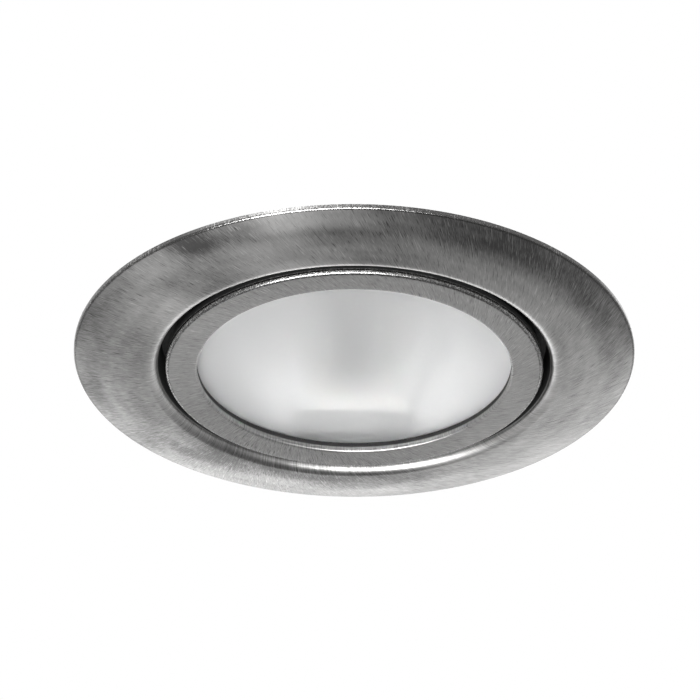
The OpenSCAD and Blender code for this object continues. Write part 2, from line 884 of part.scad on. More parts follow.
// A dipped rubber cap on the arm's end, with a pocket for the plate
module clip_sleeve() {
  skin = 0.8;
  side_wall = 0.6;
  half_w = arm_w / 2 + side_wall;
  nose_r = (arm_t + 2 * skin) / 2;
  nose_x = arm_l - nose_r;
  mid_z = (arm_under + arm_top) / 2;
  color("#1f1f20")
    at_pivot()
      difference() {
        union() {
          block([sleeve_x0, -half_w, mid_z - nose_r], [nose_x, half_w, mid_z + nose_r]);
          along_y(nose_x, mid_z, nose_r, -half_w, half_w);
        }
        block(
          [sleeve_x0 - cut, -arm_w / 2, arm_under],
          [plate_x1, arm_w / 2, arm_top]
        );
      }
}

module clip_sleeve_right() {
  clip_sleeve();
}

module clip_sleeve_left() {
  mirror([1, 0, 0]) clip_sleeve();
}

// ---- bezel with its glass ----

module bezel_ring() {
  groove_r = retainer_wire_d / 2 + 2 * play;
  hole_r = snap_rivet_r + snap_rivet_play;
  outer_c = [bezel_r - bezel_edge_r, bezel_z + bezel_edge_r];
  inner_c = [opening_r + opening_edge_r, bezel_z + opening_edge_r];
  color("#969491")
    difference() {
      rotate_extrude()
        polygon(concat(
          arc(inner_c, opening_edge_r, 180, 270),
          arc(outer_c, bezel_edge_r, 270, 360),
          [
            [bezel_r, face_back_z], [skirt_r, face_back_z], [skirt_r, skirt_top_z],
            [skirt_in_r, skirt_top_z], [skirt_in_r, face_back_z], [opening_r, face_back_z]
          ]
        ));
      rotate_extrude() translate([retainer_r, retainer_z]) circle(groove_r);
      for (a = snap_angles())
        rotate(a) along_x(0, snap_rivet_z, hole_r, skirt_in_r - cut, skirt_r + cut);
    }
}

module lens_gasket() {
  inset = 0.5;
  color("#dcdcd8") ring(opening_r + inset, glass_r, face_back_z, glass_z);
}

module lens_glass() {
  color("#eef2f2", 0.75) translate([0, 0, glass_z]) cylinder(r = glass_r, h = glass_t);
}

// A split ring of spring wire that snaps into the skirt's groove
module lens_retainer() {
  color("#9fa1a3")
    rotate(270 + retainer_gap_angle / 2)
      rotate_extrude(angle = 360 - retainer_gap_angle)
        translate([retainer_r, retainer_z]) circle(retainer_wire_d / 2, $fn = 24);
}

function snap_angles() = [for (i = [0:snap_count - 1]) snap_start + 360 * i / snap_count];

// How far a snap spring stands off the skirt, at an angle from its middle
function snap_off(a) =
  let (
    bow = aperture_r - snap_play - snap_t - skirt_r,
    out = (abs(a) - snap_flat_angle) / (snap_bow_angle - snap_flat_angle)
  )
  abs(a) <= snap_flat_angle
    ? 0
    : abs(a) <= snap_bow_angle
      ? bow * (1 - cos(180 * out)) / 2
      : bow * (1 - snap_relax * pow((abs(a) - snap_bow_angle) / (snap_end_angle - snap_bow_angle), 2));

// Bowed strips riveted to the skirt, whose ends press on the neck
module snap_springs() {
  steps = [for (a = [-snap_end_angle:1:snap_end_angle]) a];
  inner = [for (a = steps) (skirt_r + snap_off(a)) * [cos(a), sin(a)]];
  outer = [
    for (i = [len(steps) - 1:-1:0])
      (skirt_r + snap_t + snap_off(steps[i])) * [cos(steps[i]), sin(steps[i])]
  ];
  color("#b0a98e")
    for (a = snap_angles())
      rotate(a)
        difference() {
          translate([0, 0, snap_z]) linear_extrude(snap_h) polygon(concat(inner, outer));
          along_x(0, snap_rivet_z, snap_rivet_r + snap_rivet_play, skirt_r - cut, skirt_r + cut);
        }
}

module snap_rivets() {
  sunk = 0.35;
  head_r = snap_rivet_r + 0.4;
  head_h = 0.35;
  strip_r = skirt_r + snap_t;
  color("#a5a7a9")
    for (a = snap_angles())
      rotate(a) {
        along_x(0, snap_rivet_z, snap_rivet_r, skirt_in_r + sunk, strip_r);
        along_x(0, snap_rivet_z, head_r, strip_r, strip_r + head_h);
      }
}

// ---- capsule lamp, along -Y from its holder ----

// The capsule's outline as radius against length from the base, drawn in by a wall
function capsule_outline(wall) =
  let (
    tip = lamp_l - wall,
    r = capsule_r - wall,
    dome = lamp_l - capsule_r * 0.8,
    neck = pinch_l - 0.6 + wall,
    neck_r = 1.5 - wall / 2,
    shoulder_l = 2.4
  )
  concat(
    [[0, neck], [neck_r, neck]],
    [for (a = [15:15:90]) [neck_r + (r - neck_r) * sin(a), neck + shoulder_l * (1 - cos(a))]],
    [for (a = [0:10:80]) [r * cos(a), dome + (tip - dome) * sin(a)]],
    [[0, tip]]
  );

module lamp_capsule() {
  pin_end_y = lamp_base_y - pin_embed;
  bulb_y = lamp_base_y - pinch_l - 2;
  color("#f4f7f7", 0.4)
    difference() {
      union() {
        translate([0, lamp_base_y, lamp_z])
          rotate([90, 0, 0])
            rotate_extrude() polygon(capsule_outline(0));
        translate([0, lamp_base_y - pinch_l / 2, lamp_z])
          cube([pinch_w, pinch_l, pinch_h], center = true);
      }
      translate([0, lamp_base_y, lamp_z])
        rotate([90, 0, 0])
          rotate_extrude() polygon(capsule_outline(capsule_wall));
      for (x = [-pin_pitch / 2, pin_pitch / 2]) {
        along_y(x, lamp_z, pin_r + wire_play, pin_end_y, lamp_base_y + cut);
        along_y(x, lamp_z, support_r + wire_play, bulb_y, pin_end_y + wire_play);
      }
    }
}

// The coil and the two wires that carry it from the pins
module lamp_filament() {
  coil_body_r = 0.55;
  color("#6f6a62") {
    for (x = [-pin_pitch / 2, pin_pitch / 2])
      along_y(x, lamp_z, support_r, filament_y, lamp_base_y - pin_embed);
    along_x(filament_y, lamp_z, support_r, -pin_pitch / 2, pin_pitch / 2);
    along_x(filament_y, lamp_z, coil_body_r, -filament_w / 2, filament_w / 2);
  }
}

module lamp_pins() {
  color("#cfd1d3")
    for (x = [-pin_pitch / 2, pin_pitch / 2])
      along_y(x, lamp_z, pin_r, lamp_base_y - pin_embed, lamp_base_y + pin_l);
}

trim_flange();
flange_gasket();
housing_can();
reflector();
lamp_holder();
holder_contacts();
holder_bracket();
holder_screws();
holder_nuts();
lead_left();
lead_right();
lead_grommet();
terminal_block();
terminal_inserts();
terminal_screws();
block_screw();
terminal_cover();
cover_screws();
cable_grommet();
clip_bracket_left();
clip_bracket_right();
bracket_rivets();
clip_pin_left();
clip_pin_right();
clip_spring_left();
clip_spring_right();
clip_arm_left();
clip_arm_right();
clip_sleeve_left();
clip_sleeve_right();
bezel_ring();
lens_gasket();
lens_glass();
lens_retainer();
snap_springs();
snap_rivets();
lamp_capsule();
lamp_filament();
lamp_pins();
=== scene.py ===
import json
import math
import random

import bmesh
import bpy
from mathutils import Matrix, Vector


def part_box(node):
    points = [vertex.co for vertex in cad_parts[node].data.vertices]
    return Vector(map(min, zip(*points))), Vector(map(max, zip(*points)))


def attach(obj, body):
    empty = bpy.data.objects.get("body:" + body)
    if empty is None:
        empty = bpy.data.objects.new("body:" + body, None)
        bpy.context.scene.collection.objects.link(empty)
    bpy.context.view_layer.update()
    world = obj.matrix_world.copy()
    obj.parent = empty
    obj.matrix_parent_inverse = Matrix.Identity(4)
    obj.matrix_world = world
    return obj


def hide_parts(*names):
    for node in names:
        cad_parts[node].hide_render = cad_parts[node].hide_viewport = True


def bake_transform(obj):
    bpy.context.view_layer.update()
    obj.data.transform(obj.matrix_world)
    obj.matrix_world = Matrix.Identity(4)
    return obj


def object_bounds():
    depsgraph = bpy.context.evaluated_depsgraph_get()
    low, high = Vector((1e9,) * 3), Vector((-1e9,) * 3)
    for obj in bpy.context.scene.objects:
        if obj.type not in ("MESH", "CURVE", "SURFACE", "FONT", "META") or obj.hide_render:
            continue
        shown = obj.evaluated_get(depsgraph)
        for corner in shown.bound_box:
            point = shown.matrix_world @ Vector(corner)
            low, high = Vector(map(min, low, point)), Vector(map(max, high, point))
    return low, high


# A recessed soffit downlight, seen from below. Lengths in the settings are millimetres.
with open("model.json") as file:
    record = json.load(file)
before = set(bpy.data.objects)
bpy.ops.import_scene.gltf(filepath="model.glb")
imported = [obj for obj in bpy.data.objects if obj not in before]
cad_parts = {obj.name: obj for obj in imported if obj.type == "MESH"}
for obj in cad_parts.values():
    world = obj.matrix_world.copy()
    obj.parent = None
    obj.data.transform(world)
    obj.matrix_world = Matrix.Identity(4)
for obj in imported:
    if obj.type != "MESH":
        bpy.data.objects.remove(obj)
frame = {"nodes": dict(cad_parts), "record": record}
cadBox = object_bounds()
cad = frame["nodes"]
mm = 0.001
xAxis, yAxis, zAxis = Vector((1, 0, 0)), Vector((0, 1, 0)), Vector((0, 0, 1))
print("frame loaded:", len(cad), "nodes")


# shapes

def onCircle(centre, radius, angle):
    return centre[0] + radius * math.cos(angle), centre[1] + radius * math.sin(angle)


def fullTurn(steps):
    return [2 * math.pi * k / steps for k in range(steps)]


def arcPoints(centre, radius, start, end, steps):
    degrees = [start + (end - start) * i / steps for i in range(steps + 1)]
    return [onCircle(centre, radius, math.radians(d)) for d in degrees]


# each corner is (x, y, radius) and becomes an arc that touches both of its sides
def rounded(corners, steps=5):
    points = []
    for i, (x, y, radius) in enumerate(corners):
        if radius == 0:
            points.append((x, y))
            continue
        here = Vector((x, y))
        before = (Vector(corners[i - 1][:2]) - here).normalized()
        after = (Vector(corners[(i + 1) % len(corners)][:2]) - here).normalized()
        half = before.angle(after) / 2
        centre = here + (before + after).normalized() * (radius / math.sin(half))
        first = here + before * (radius / math.tan(half)) - centre
        last = here + after * (radius / math.tan(half)) - centre
        start = math.atan2(first.y, first.x)
        turn = (math.atan2(last.y, last.x) - start + math.pi) % (2 * math.pi) - math.pi
        points += [onCircle(centre, radius, start + turn * k / steps) for k in range(steps + 1)]
    return points


def meshPiece(name, points, faces, sharpAngle=40):
    mesh = bpy.data.meshes.new(name)
    mesh.from_pydata([Vector(p) * mm for p in points], [], faces)
    tidy = bmesh.new()
    tidy.from_mesh(mesh)
    bmesh.ops.remove_doubles(tidy, verts=tidy.verts, dist=1e-7)
    bmesh.ops.recalc_face_normals(tidy, faces=tidy.faces)
    tidy.to_mesh(mesh)
    tidy.free()
    mesh.shade_smooth()
    mesh.set_sharp_from_angle(angle=math.radians(sharpAngle))
    piece = bpy.data.objects.new(name, mesh)
    bpy.context.scene.collection.objects.link(piece)
    return piece


# joins rings of equal count; an open row of rings gets a cap at each end
def skin(name, rings, closed=False, sharpAngle=40):
    count = len(rings[0])
    points = [p for ring in rings for p in ring]
    faces = []
    for i in range(len(rings) if closed else len(rings) - 1):
        here, after = i * count, (i + 1) % len(rings) * count
        for k in range(count):
            k2 = (k + 1) % count
            faces.append((here + k, here + k2, after + k2, after + k))
    if not closed:
        last = (len(rings) - 1) * count
        faces += [tuple(range(count)), tuple(range(last, last + count))]
    return meshPiece(name, points, faces, sharpAngle)


# unit vectors square to an axis, all round it
def spokesAbout(axis, steps):
    across = xAxis if abs(axis.x) < 0.5 else yAxis
    side = axis.cross(across).normalized()
    return [across * math.cos(turn) + side * math.sin(turn) for turn in fullTurn(steps)]


# turns an outline of (radius, height) about an axis through origin
def lathe(name, outline, steps, closed=False, origin=(0, 0, 0), axis=zAxis, sharpAngle=40):
    rings = []
    for radius, height in outline:
        centre = Vector(origin) + axis * height
        rings.append([centre + radius * spoke for spoke in spokesAbout(axis, steps)])
    return skin(name, rings, closed, sharpAngle)


# a round wire along a route, with domed ends
def wirePiece(name, route, radius, sides):
    route = [Vector(p) for p in route]
    nextTo = [(route[max(i - 1, 0)], route[min(i + 1, len(route) - 1)]) for i in range(len(route))]
    heads = [(after - before).normalized() for before, after in nextTo]
    side = heads[0].orthogonal().normalized()
    dome = [(0.98, 0.18), (0.9, 0.44), (0.72, 0.7), (0.42, 0.9)]
    sections = [(route[0] - heads[0] * radius * far, heads[0], near) for near, far in dome[::-1]]
    sections += [(p, h, 1.0) for p, h in zip(route, heads)]
    sections += [(route[-1] + heads[-1] * radius * far, heads[-1], near) for near, far in dome]
    rings = []
    for point, head, scale in sections:
        side = (side - head * side.dot(head)).normalized()
        other = head.cross(side)
        spokes = [side * math.cos(t) + other * math.sin(t) for t in fullTurn(sides)]
        rings.append([point + spoke * radius * scale for spoke in spokes])
    return skin(name, rings)


# an outline in a plane, drawn out along a third direction with rounded rims
def slab(name, outline, low, high, place, rim, steps=3):
    quarter = [math.pi / 2 * k / steps for k in range(steps + 1)]
    levels = [(rim * (1 - math.sin(a)), low + rim * (1 - math.cos(a))) for a in quarter]
    levels += [(inset, high + low - level) for inset, level in levels[::-1]]
    rings = []
    for inset, level in levels:
        ring = []
        for i, point in enumerate(outline):
            along = Vector(outline[(i + 1) % len(outline)]) - Vector(outline[i - 1])
            moved = Vector(point) + Vector((-along.y, along.x)).normalized() * inset
            ring.append(place(moved.x, moved.y, level))
        rings.append(ring)
    return skin(name, rings)


def rectOutline(x0, x1, y0, y1, radius, steps=5):
    return rounded([(x0, y0, radius), (x1, y0, radius), (x1, y1, radius), (x0, y1, radius)], steps)


# joins or cuts one mesh with another, and keeps only the result
def combine(piece, tools, operation):
    for tool in tools:
        change = piece.modifiers.new(operation.lower(), "BOOLEAN")
        change.operation = operation
        change.solver = "EXACT"
        change.object = tool
        bpy.context.view_layer.update()
        shaped = piece.evaluated_get(bpy.context.evaluated_depsgraph_get())
        made = bpy.data.meshes.new_from_object(shaped)
        piece.modifiers.clear()
        piece.data = made
        bpy.data.objects.remove(tool)
    piece.data.shade_smooth()
    piece.data.set_sharp_from_angle(angle=math.radians(40))
    return piece


def cylinderTool(centre, axis, radius, length):
    start = Vector(centre) - axis * (length / 2)
    return lathe("tool", [(radius, 0), (radius, length)], 32, origin=start, axis=axis)


# the profile of a round head, over a base
def domeOutline(radius, base, height, steps=8):
    turns = [math.pi / 2 * k / steps for k in range(steps)]
    return [(radius * math.cos(t), base + height * math.sin(t)) for t in turns]


def mirrored(route, side):
    return [Vector((side * p.x, p.y, p.z)) for p in route]


def upright(x, y, z):
    return Vector((x, y, z))


sides = (("left", -1), ("right", 1))


# nodes and groups

def addNode(tree, kind, inputs=None, **settings):
    made = tree.nodes.new("ShaderNode" + kind)
    for key, value in settings.items():
        setattr(made, key, value)
    for socket, value in (inputs or {}).items():
        if isinstance(value, bpy.types.NodeSocket):
            tree.links.new(value, made.inputs[socket])
        else:
            made.inputs[socket].default_value = value
    return made


def calc(tree, operation, first, second=0.0, third=0.0):
    return addNode(tree, "Math", {0: first, 1: second, 2: third}, operation=operation).outputs[0]


def times(tree, first, second):
    return calc(tree, "MULTIPLY", first, second)


def plus(tree, first, second):
    return calc(tree, "ADD", first, second)


def timesPlus(tree, value, factor, addend):
    return calc(tree, "MULTIPLY_ADD", value, factor, addend)


def inverse(tree, value):
    return calc(tree, "SUBTRACT", 1.0, value)


def vectorCalc(tree, operation, first, second=(0, 0, 0), output="Vector"):
    return addNode(tree, "VectorMath", {0: first, 1: second}, operation=operation).outputs[output]


def scaled(tree, vector, scale):
    return addNode(tree, "VectorMath", {0: vector, "Scale": scale}, operation="SCALE").outputs["Vector"]


def split(tree, vector):
    return addNode(tree, "SeparateXYZ", {0: vector}).outputs


def join(tree, **parts):
    return addNode(tree, "CombineXYZ", parts).outputs[0]


def objectPlace(tree):
    return addNode(tree, "TexCoord").outputs["Object"]


# a point's place, and how far it is from the Z axis
def aboutZ(tree):
    place = objectPlace(tree)
    parts = split(tree, place)
    flat = join(tree, X=parts["X"], Y=parts["Y"])
    radius = vectorCalc(tree, "LENGTH", flat, output="Value")
    return {"place": place, "z": parts["Z"], "flat": flat, "radius": radius}


def spread(tree, value, fromLow, fromHigh, toLow=0.0, toHigh=1.0, smooth=False):
    inputs = {"Value": value, "From Min": fromLow, "From Max": fromHigh, "To Min": toLow, "To Max": toHigh}
    style = "SMOOTHSTEP" if smooth else "LINEAR"
    return addNode(tree, "MapRange", inputs, interpolation_type=style).outputs["Result"]


# nearly all of a noise lies in the middle of its range
def fromNoise(tree, value, toLow=0.0, toHigh=1.0):
    return spread(tree, value, 0.3, 0.7, toLow, toHigh)


def mixColour(tree, factor, first, second):
    made = addNode(tree, "Mix", {0: factor}, data_type="RGBA")
    for index, value in ((6, first), (7, second)):
        if isinstance(value, bpy.types.NodeSocket):
            tree.links.new(value, made.inputs[index])
        else:
            made.inputs[index].default_value = (*value, 1)
    return made.outputs[2]


def noiseAt(tree, vector, scale=1.0, detail=2.0, rough=0.5):
    inputs = {"Vector": vector, "Scale": scale, "Detail": detail, "Roughness": rough}
    return addNode(tree, "TexNoise", inputs).outputs["Fac"]


def newGroup(name, inputs, outputs):
    tree = bpy.data.node_groups.new(name, "ShaderNodeTree")
    for label, value in inputs.items():
        socket = tree.interface.new_socket(label, in_out="INPUT", socket_type="NodeSocketFloat")
        socket.default_value = value
    for label in outputs:
        tree.interface.new_socket(label, in_out="OUTPUT", socket_type="NodeSocketFloat")
    return tree, tree.nodes.new("NodeGroupInput").outputs, tree.nodes.new("NodeGroupOutput")


def groupOut(tree, sink, values):
    for label, socket in values.items():
        tree.links.new(socket, sink.inputs[label])
    return tree


# fine strokes along spirals about Z, as a hand-held pad leaves them on a turning plate, with painted
# reflections laid over them as broad bright and dark patches
swirlLook = {
    "meanRadius": 0.034,   # where the strokes' own angle is read
    "lean": 0.52,          # tangent of the strokes' lean from radial
    "leanChange": 0.4,     # more lean on the +X side, less on the other
    "bands": 0.22,         # how much of the tone comes from wide bands and how much from strokes
    "strokes": 0.78,
    # broad painted reflections, bright and dark: direction and half width in degrees, radii in mm they grow
    # over, amount
    "paintedReflections": [
        (-116, 15, (36.5, 40), -1.25), (-94, 17, (38, 40), 1.0), (-87, 16, (34.5, 36.5), -0.5),
        (-106, 17, (30, 31), 0.6), (-48, 34, (35.7, 39.5), -0.9), (-42, 24, (37, 33), 0.3),
        (-11, 24, (36, 40), -0.6), (-158, 20, (36, 40), -0.35), (-140, 16, (30, 34), 0.2),
        (-150, 14, (41, 36), 0.4), (-134, 12, (30, 31), -0.35), (-134, 12, (38, 40), 0.25),
        (95, 50, (38, 33), -0.9), (141, 30, (41, 36.5), -0.8), (141, 30, (36, 33), 0.25),
        (156, 24, (38, 40), -0.55), (185, 22, (30, 31), -0.3),
    ],
}


def buildSwirl():
    tree, given, sink = newGroup("swirlStrokesAndReflections", {"Strokes": 160.0, "Length": 12.0, "Seed": 0.0},
                                 ["Stroke", "Scratch", "PatchAndReflection", "Mottle"])
    at = aboutZ(tree)
    heading = vectorCalc(tree, "NORMALIZE", at["flat"])
    ratio = calc(tree, "DIVIDE", at["radius"], swirlLook["meanRadius"])
    logRadius = calc(tree, "LOGARITHM", ratio, math.e)
    lean = timesPlus(tree, split(tree, heading)["X"], swirlLook["leanChange"], swirlLook["lean"])
    turned = {"Vector": heading, "Angle": times(tree, lean, logRadius)}
    unwound = addNode(tree, "VectorRotate", turned, rotation_type="Z_AXIS").outputs[0]
    depth = timesPlus(tree, at["z"], 900.0, times(tree, logRadius, given["Length"]))
    lift = join(tree, Z=plus(tree, depth, given["Seed"]))

    def noiseOver(scale, rise, *settings):
        place = vectorCalc(tree, "ADD", scaled(tree, unwound, scale), rise)
        return noiseAt(tree, place, 1.0, *settings)

    strokes = noiseOver(given["Strokes"], lift, 3.0, 0.62)
    bands = noiseOver(times(tree, given["Strokes"], 0.24), lift, 2.0, 0.5)
    mixed = timesPlus(tree, bands, swirlLook["bands"], times(tree, strokes, swirlLook["strokes"]))
    rare = noiseOver(times(tree, given["Strokes"], 0.9), scaled(tree, lift, 0.55), 0.0)
    scratch = calc(tree, "SUBTRACT", spread(tree, rare, 0.68, 0.74), spread(tree, rare, 0.32, 0.26))
    # random tone, plus the listed patches: painted reflections of the surroundings, bright where the amount is
    # positive, dark where it is negative
    patchAndReflection = fromNoise(tree, noiseOver(3.0, scaled(tree, lift, 0.25)), -0.35, 0.35)
    for degrees, width, grow, amount in swirlLook["paintedReflections"]:
        towards = (*onCircle((0, 0), 1, math.radians(degrees)), 0)
        nearness = vectorCalc(tree, "DOT_PRODUCT", unwound, towards, "Value")
        mask = spread(tree, nearness, math.cos(math.radians(width)), 1.0, 0.0, amount, True)
        grown = spread(tree, at["radius"], grow[0] * mm, grow[1] * mm, 0.0, 1.0, True)
        patchAndReflection = timesPlus(tree, mask, grown, patchAndReflection)
    mottle = noiseAt(tree, at["place"], 5200.0, 2.0, 0.6)
    return groupOut(tree, sink, {"Stroke": mixed, "Scratch": scratch, "PatchAndReflection": patchAndReflection, "Mottle": mottle})


# moulding grain and soft clouding for plastics, rubber and ceramic
def buildGrain():
    tree, given, sink = newGroup("mouldGrain", {"Grain": 9000.0, "Cloud": 120.0}, ["Height", "Cloud"])
    place = objectPlace(tree)
    fine = noiseAt(tree, place, given["Grain"], 3.0, 0.6)
    wide = noiseAt(tree, place, given["Cloud"], 2.0, 0.5)
    return groupOut(tree, sink, {"Height": fine, "Cloud": wide})


# lines along one direction, as rolled strip and drawn sheet show
def buildRolled():
    tree, given, sink = newGroup("rolledSheet", {"Across": 9000.0, "Along": 350.0, "Cloud": 160.0},
                                 ["Line", "Cloud", "Spangle"])
    place = objectPlace(tree)
    parts = split(tree, place)
    stretch = (("X", "Along"), ("Y", "Across"), ("Z", "Across"))
    stretched = join(tree, **{axis: times(tree, parts[axis], given[size]) for axis, size in stretch})
    line = noiseAt(tree, stretched, 1.0, 3.0, 0.6)
    wide = noiseAt(tree, place, given["Cloud"], 3.0, 0.55)
    crystals = {"Vector": place, "Scale": times(tree, given["Cloud"], 4.0)}
    cells = addNode(tree, "TexVoronoi", crystals)
    crystal = addNode(tree, "SeparateColor", {0: cells.outputs["Color"]}).outputs["Red"]
    return groupOut(tree, sink, {"Line": line, "Cloud": wide, "Spangle": crystal})


# rings about Z, as spinning or turning leaves them
def buildTurned():
    tree, given, sink = newGroup("turnedLines", {"Lines": 5200.0, "Wander": 60.0}, ["Line", "Wander"])
    at = aboutZ(tree)
    radius, height = [times(tree, at[key], given["Lines"]) for key in ("radius", "z")]
    line = noiseAt(tree, join(tree, X=radius, Y=height), 1.0, 2.0, 0.6)
    wander = noiseAt(tree, at["place"], given["Wander"], 2.0, 0.5)
    return groupOut(tree, sink, {"Line": line, "Wander": wander})


# worn edges, broken up by noise
def buildEdges():
    tree, given, sink = newGroup("edgeWear", {"Low": 0.51, "High": 0.57, "Breakup": 1500.0}, ["Edge"])
    point = addNode(tree, "NewGeometry").outputs["Pointiness"]
    edge = spread(tree, point, given["Low"], given["High"])
    breakup = spread(tree, noiseAt(tree, objectPlace(tree), given["Breakup"], 3.0, 0.6), 0.35, 0.62)
    return groupOut(tree, sink, {"Edge": times(tree, edge, breakup)})


# dust that settles on what faces up
def buildDust():
    tree, given, sink = newGroup("settledDust", {"Amount": 0.3, "Scale": 420.0}, ["Dust"])
    up = split(tree, addNode(tree, "NewGeometry").outputs["Normal"])["Z"]
    clumps = spread(tree, noiseAt(tree, objectPlace(tree), given["Scale"], 4.0, 0.65), 0.42, 0.75)
    dust = times(tree, times(tree, clumps, spread(tree, up, 0.3, 0.95)), given["Amount"])
    return groupOut(tree, sink, {"Dust": dust})


# which side of a radius about Z, and of a height, a point is on
def buildZone():
    tree, given, sink = newGroup("turnedZone", {"Radius": 0.03, "Height": 0.0, "Soft": 0.0001},
                                 ["Outside", "Above"])
    at = aboutZ(tree)

    def past(value, limit):
        low = calc(tree, "SUBTRACT", given[limit], given["Soft"])
        high = plus(tree, given[limit], given["Soft"])
        return spread(tree, value, low, high, 0.0, 1.0, True)

    return groupOut(tree, sink, {"Outside": past(at["radius"], "Radius"), "Above": past(at["z"], "Height")})


groups = {
    "swirl": buildSwirl(),
    "zone": buildZone(),
    "grain": buildGrain(),
    "rolled": buildRolled(),
    "turned": buildTurned(),
    "edges": buildEdges(),
    "dust": buildDust(),
}
print("groups built:", len(groups))


def useGroup(tree, name, **values):
    made = tree.nodes.new("ShaderNodeGroup")
    made.node_tree = groups[name]
    for label, value in values.items():
        made.inputs[label].default_value = value
    return made.outputs


# materials

socketNames = {
    "metallic": "Metallic", "roughness": "Roughness", "ior": "IOR", "transmission": "Transmission Weight",
    "anisotropic": "Anisotropic", "turned": "Anisotropic Rotation", "specular": "Specular IOR Level",
    "sheen": "Sheen Weight", "subsurface": "Subsurface Weight", "subsurfaceScale": "Subsurface Scale",
}
dustColour = (0.42, 0.4, 0.37)


# the dust's mask, and the colour and roughness with the dust on
def dusted(tree, amount, colour, roughness, rougher):
    film = useGroup(tree, "dust", Amount=amount)["Dust"]
    return film, mixColour(tree, film, colour, dustColour), timesPlus(tree, film, rougher, roughness)


def newMaterial(name, **sockets):
    material = bpy.data.materials.new(name)
    material.use_nodes = True
    tree = material.node_tree
    shader = tree.nodes["Principled BSDF"]
    for label, value in sockets.items():
        shader.inputs[socketNames[label]].default_value = value
    return material, tree, shader


def feed(tree, shader, colour, roughness=None, height=None, depth=0.00001, metallic=None):
    for label, value in (("Base Color", colour), ("Roughness", roughness), ("Metallic", metallic)):
        if value is not None:
            tree.links.new(value, shader.inputs[label])
    if height is not None:
        bump = addNode(tree, "Bump", {"Height": height, "Distance": depth})
        tree.links.new(bump.outputs["Normal"], shader.inputs["Normal"])


# the grain runs round Z
def turnGrain(tree, shader):
    tangent = addNode(tree, "Tangent", direction_type="RADIAL", axis="Z")
    tree.links.new(tangent.outputs[0], shader.inputs["Tangent"])


# per finish: the outer edge's tone range is painted shade, the zone behind the gap and the gap colour are
# painted shade, the lip's lift is a painted highlight, and the patch amount scales random tone together with
# painted reflections
nickelLook = {
    "flange": {
        "dark": (0.10, 0.099, 0.098), "light": (0.66, 0.655, 0.648), "mid": 0.5, "patchAndReflection": 0.42,
        "strokes": 330.0, "length": 32.0, "seed": 3.0, "edge": 0.0422, "paintedEdgeShade": (-0.7, 0.0),
        "paintedShade": (0.02988, -0.0022), "lip": (0.0315, 0.15)},
    "bezel": {
        "dark": (0.12, 0.119, 0.118), "light": (0.66, 0.655, 0.648), "mid": 0.47, "patchAndReflection": 0.1,
        "strokes": 300.0, "length": 28.0, "seed": 41.0, "edge": 0.0281, "paintedEdgeShade": (-0.85, 0.1),
        "paintedShade": (0.05, -0.0024), "lip": (0.0, 0.0)},
    "rear": (0.46, 0.455, 0.45), "gap": (0.010, 0.010, 0.010), "strokeTone": 0.14, "scratch": 0.3,
    "rough": (0.33, 0.43), "depth": 0.000006,
}


# brushed in front with painted reflection patches and a painted highlight on the lip, glossier and pitted on
# the outer edge with painted shade there, painted shade inside the gap, plain behind
def nickelMaterial(name, look):
    n = nickelLook
    material, tree, shader = newMaterial(name, metallic=1.0, anisotropic=0.4, turned=0.11)
    swirl = useGroup(tree, "swirl", Strokes=look["strokes"], Length=look["length"], Seed=look["seed"])
    rim = useGroup(tree, "zone", Radius=look["edge"], Height=0.0, Soft=0.00012)["Outside"]
    lip = useGroup(tree, "zone", Radius=look["lip"][0], Height=0.0, Soft=0.0007)["Outside"]
    # inside the gap the nickel is coloured near black and not metallic: painted shade where the gap lies in
    # shadow
    gap = useGroup(tree, "zone", Radius=look["paintedShade"][0], Height=look["paintedShade"][1], Soft=0.00015)
    paintedShade = times(tree, gap["Above"], inverse(tree, gap["Outside"]))
    rear = spread(tree, split(tree, addNode(tree, "NewGeometry").outputs["Normal"])["Z"], 0.05, 0.3)
    tone = timesPlus(tree, swirl["PatchAndReflection"], look["patchAndReflection"], look["mid"])
    tone = plus(tree, tone, spread(tree, swirl["Stroke"], 0.36, 0.64, -n["strokeTone"], n["strokeTone"]))
    tone = timesPlus(tree, swirl["Scratch"], n["scratch"], tone)
    # the outer edge's rounding is darkened, broken up by the pits: painted shade
    tone = timesPlus(tree, spread(tree, swirl["Mottle"], 0.4, 0.6, *look["paintedEdgeShade"]), rim, tone)
    # lighter inside the lip's radius: a painted highlight on the rounded lip
    tone = plus(tree, tone, spread(tree, lip, 0.0, 1.0, look["lip"][1], 0.0))
    colour = mixColour(tree, spread(tree, tone, 0.0, 1.0), look["dark"], look["light"])
    colour = mixColour(tree, paintedShade, mixColour(tree, rear, colour, n["rear"]), n["gap"])
    low, high = n["rough"]
    rough = timesPlus(tree, rim, -0.12, fromNoise(tree, swirl["Stroke"], high, low))
    rough = timesPlus(tree, paintedShade, 0.3, rough)
    pits = times(tree, swirl["Mottle"], timesPlus(tree, rim, 2.2, 0.3))
    height = timesPlus(tree, swirl["Stroke"], inverse(tree, rear), pits)
    feed(tree, shader, colour, rough, height, n["depth"], inverse(tree, paintedShade))
    turnGrain(tree, shader)
    return material


def sheetMaterial(name, dark, light, rough, along=350.0, across=9000.0, spangle=0.0, dust=0.0):
    material, tree, shader = newMaterial(name, metallic=1.0)
    rolled = useGroup(tree, "rolled", Across=across, Along=along)
    edge = useGroup(tree, "edges")["Edge"]
    tone = plus(tree, fromNoise(tree, rolled["Line"], 0.1, 0.55), fromNoise(tree, rolled["Cloud"], 0, 0.35))
    tone = timesPlus(tree, rolled["Spangle"], spangle, tone)
    tone = timesPlus(tree, edge, 0.35, tone)
    colour = mixColour(tree, spread(tree, tone, 0.0, 1.0), dark, light)
    roughness = fromNoise(tree, rolled["Cloud"], *rough)
    metallic = None
    if dust:
        film, colour, roughness = dusted(tree, dust, colour, roughness, 0.4)
        metallic = inverse(tree, film)
    feed(tree, shader, colour, roughness, rolled["Line"], 0.000006, metallic)
    return material


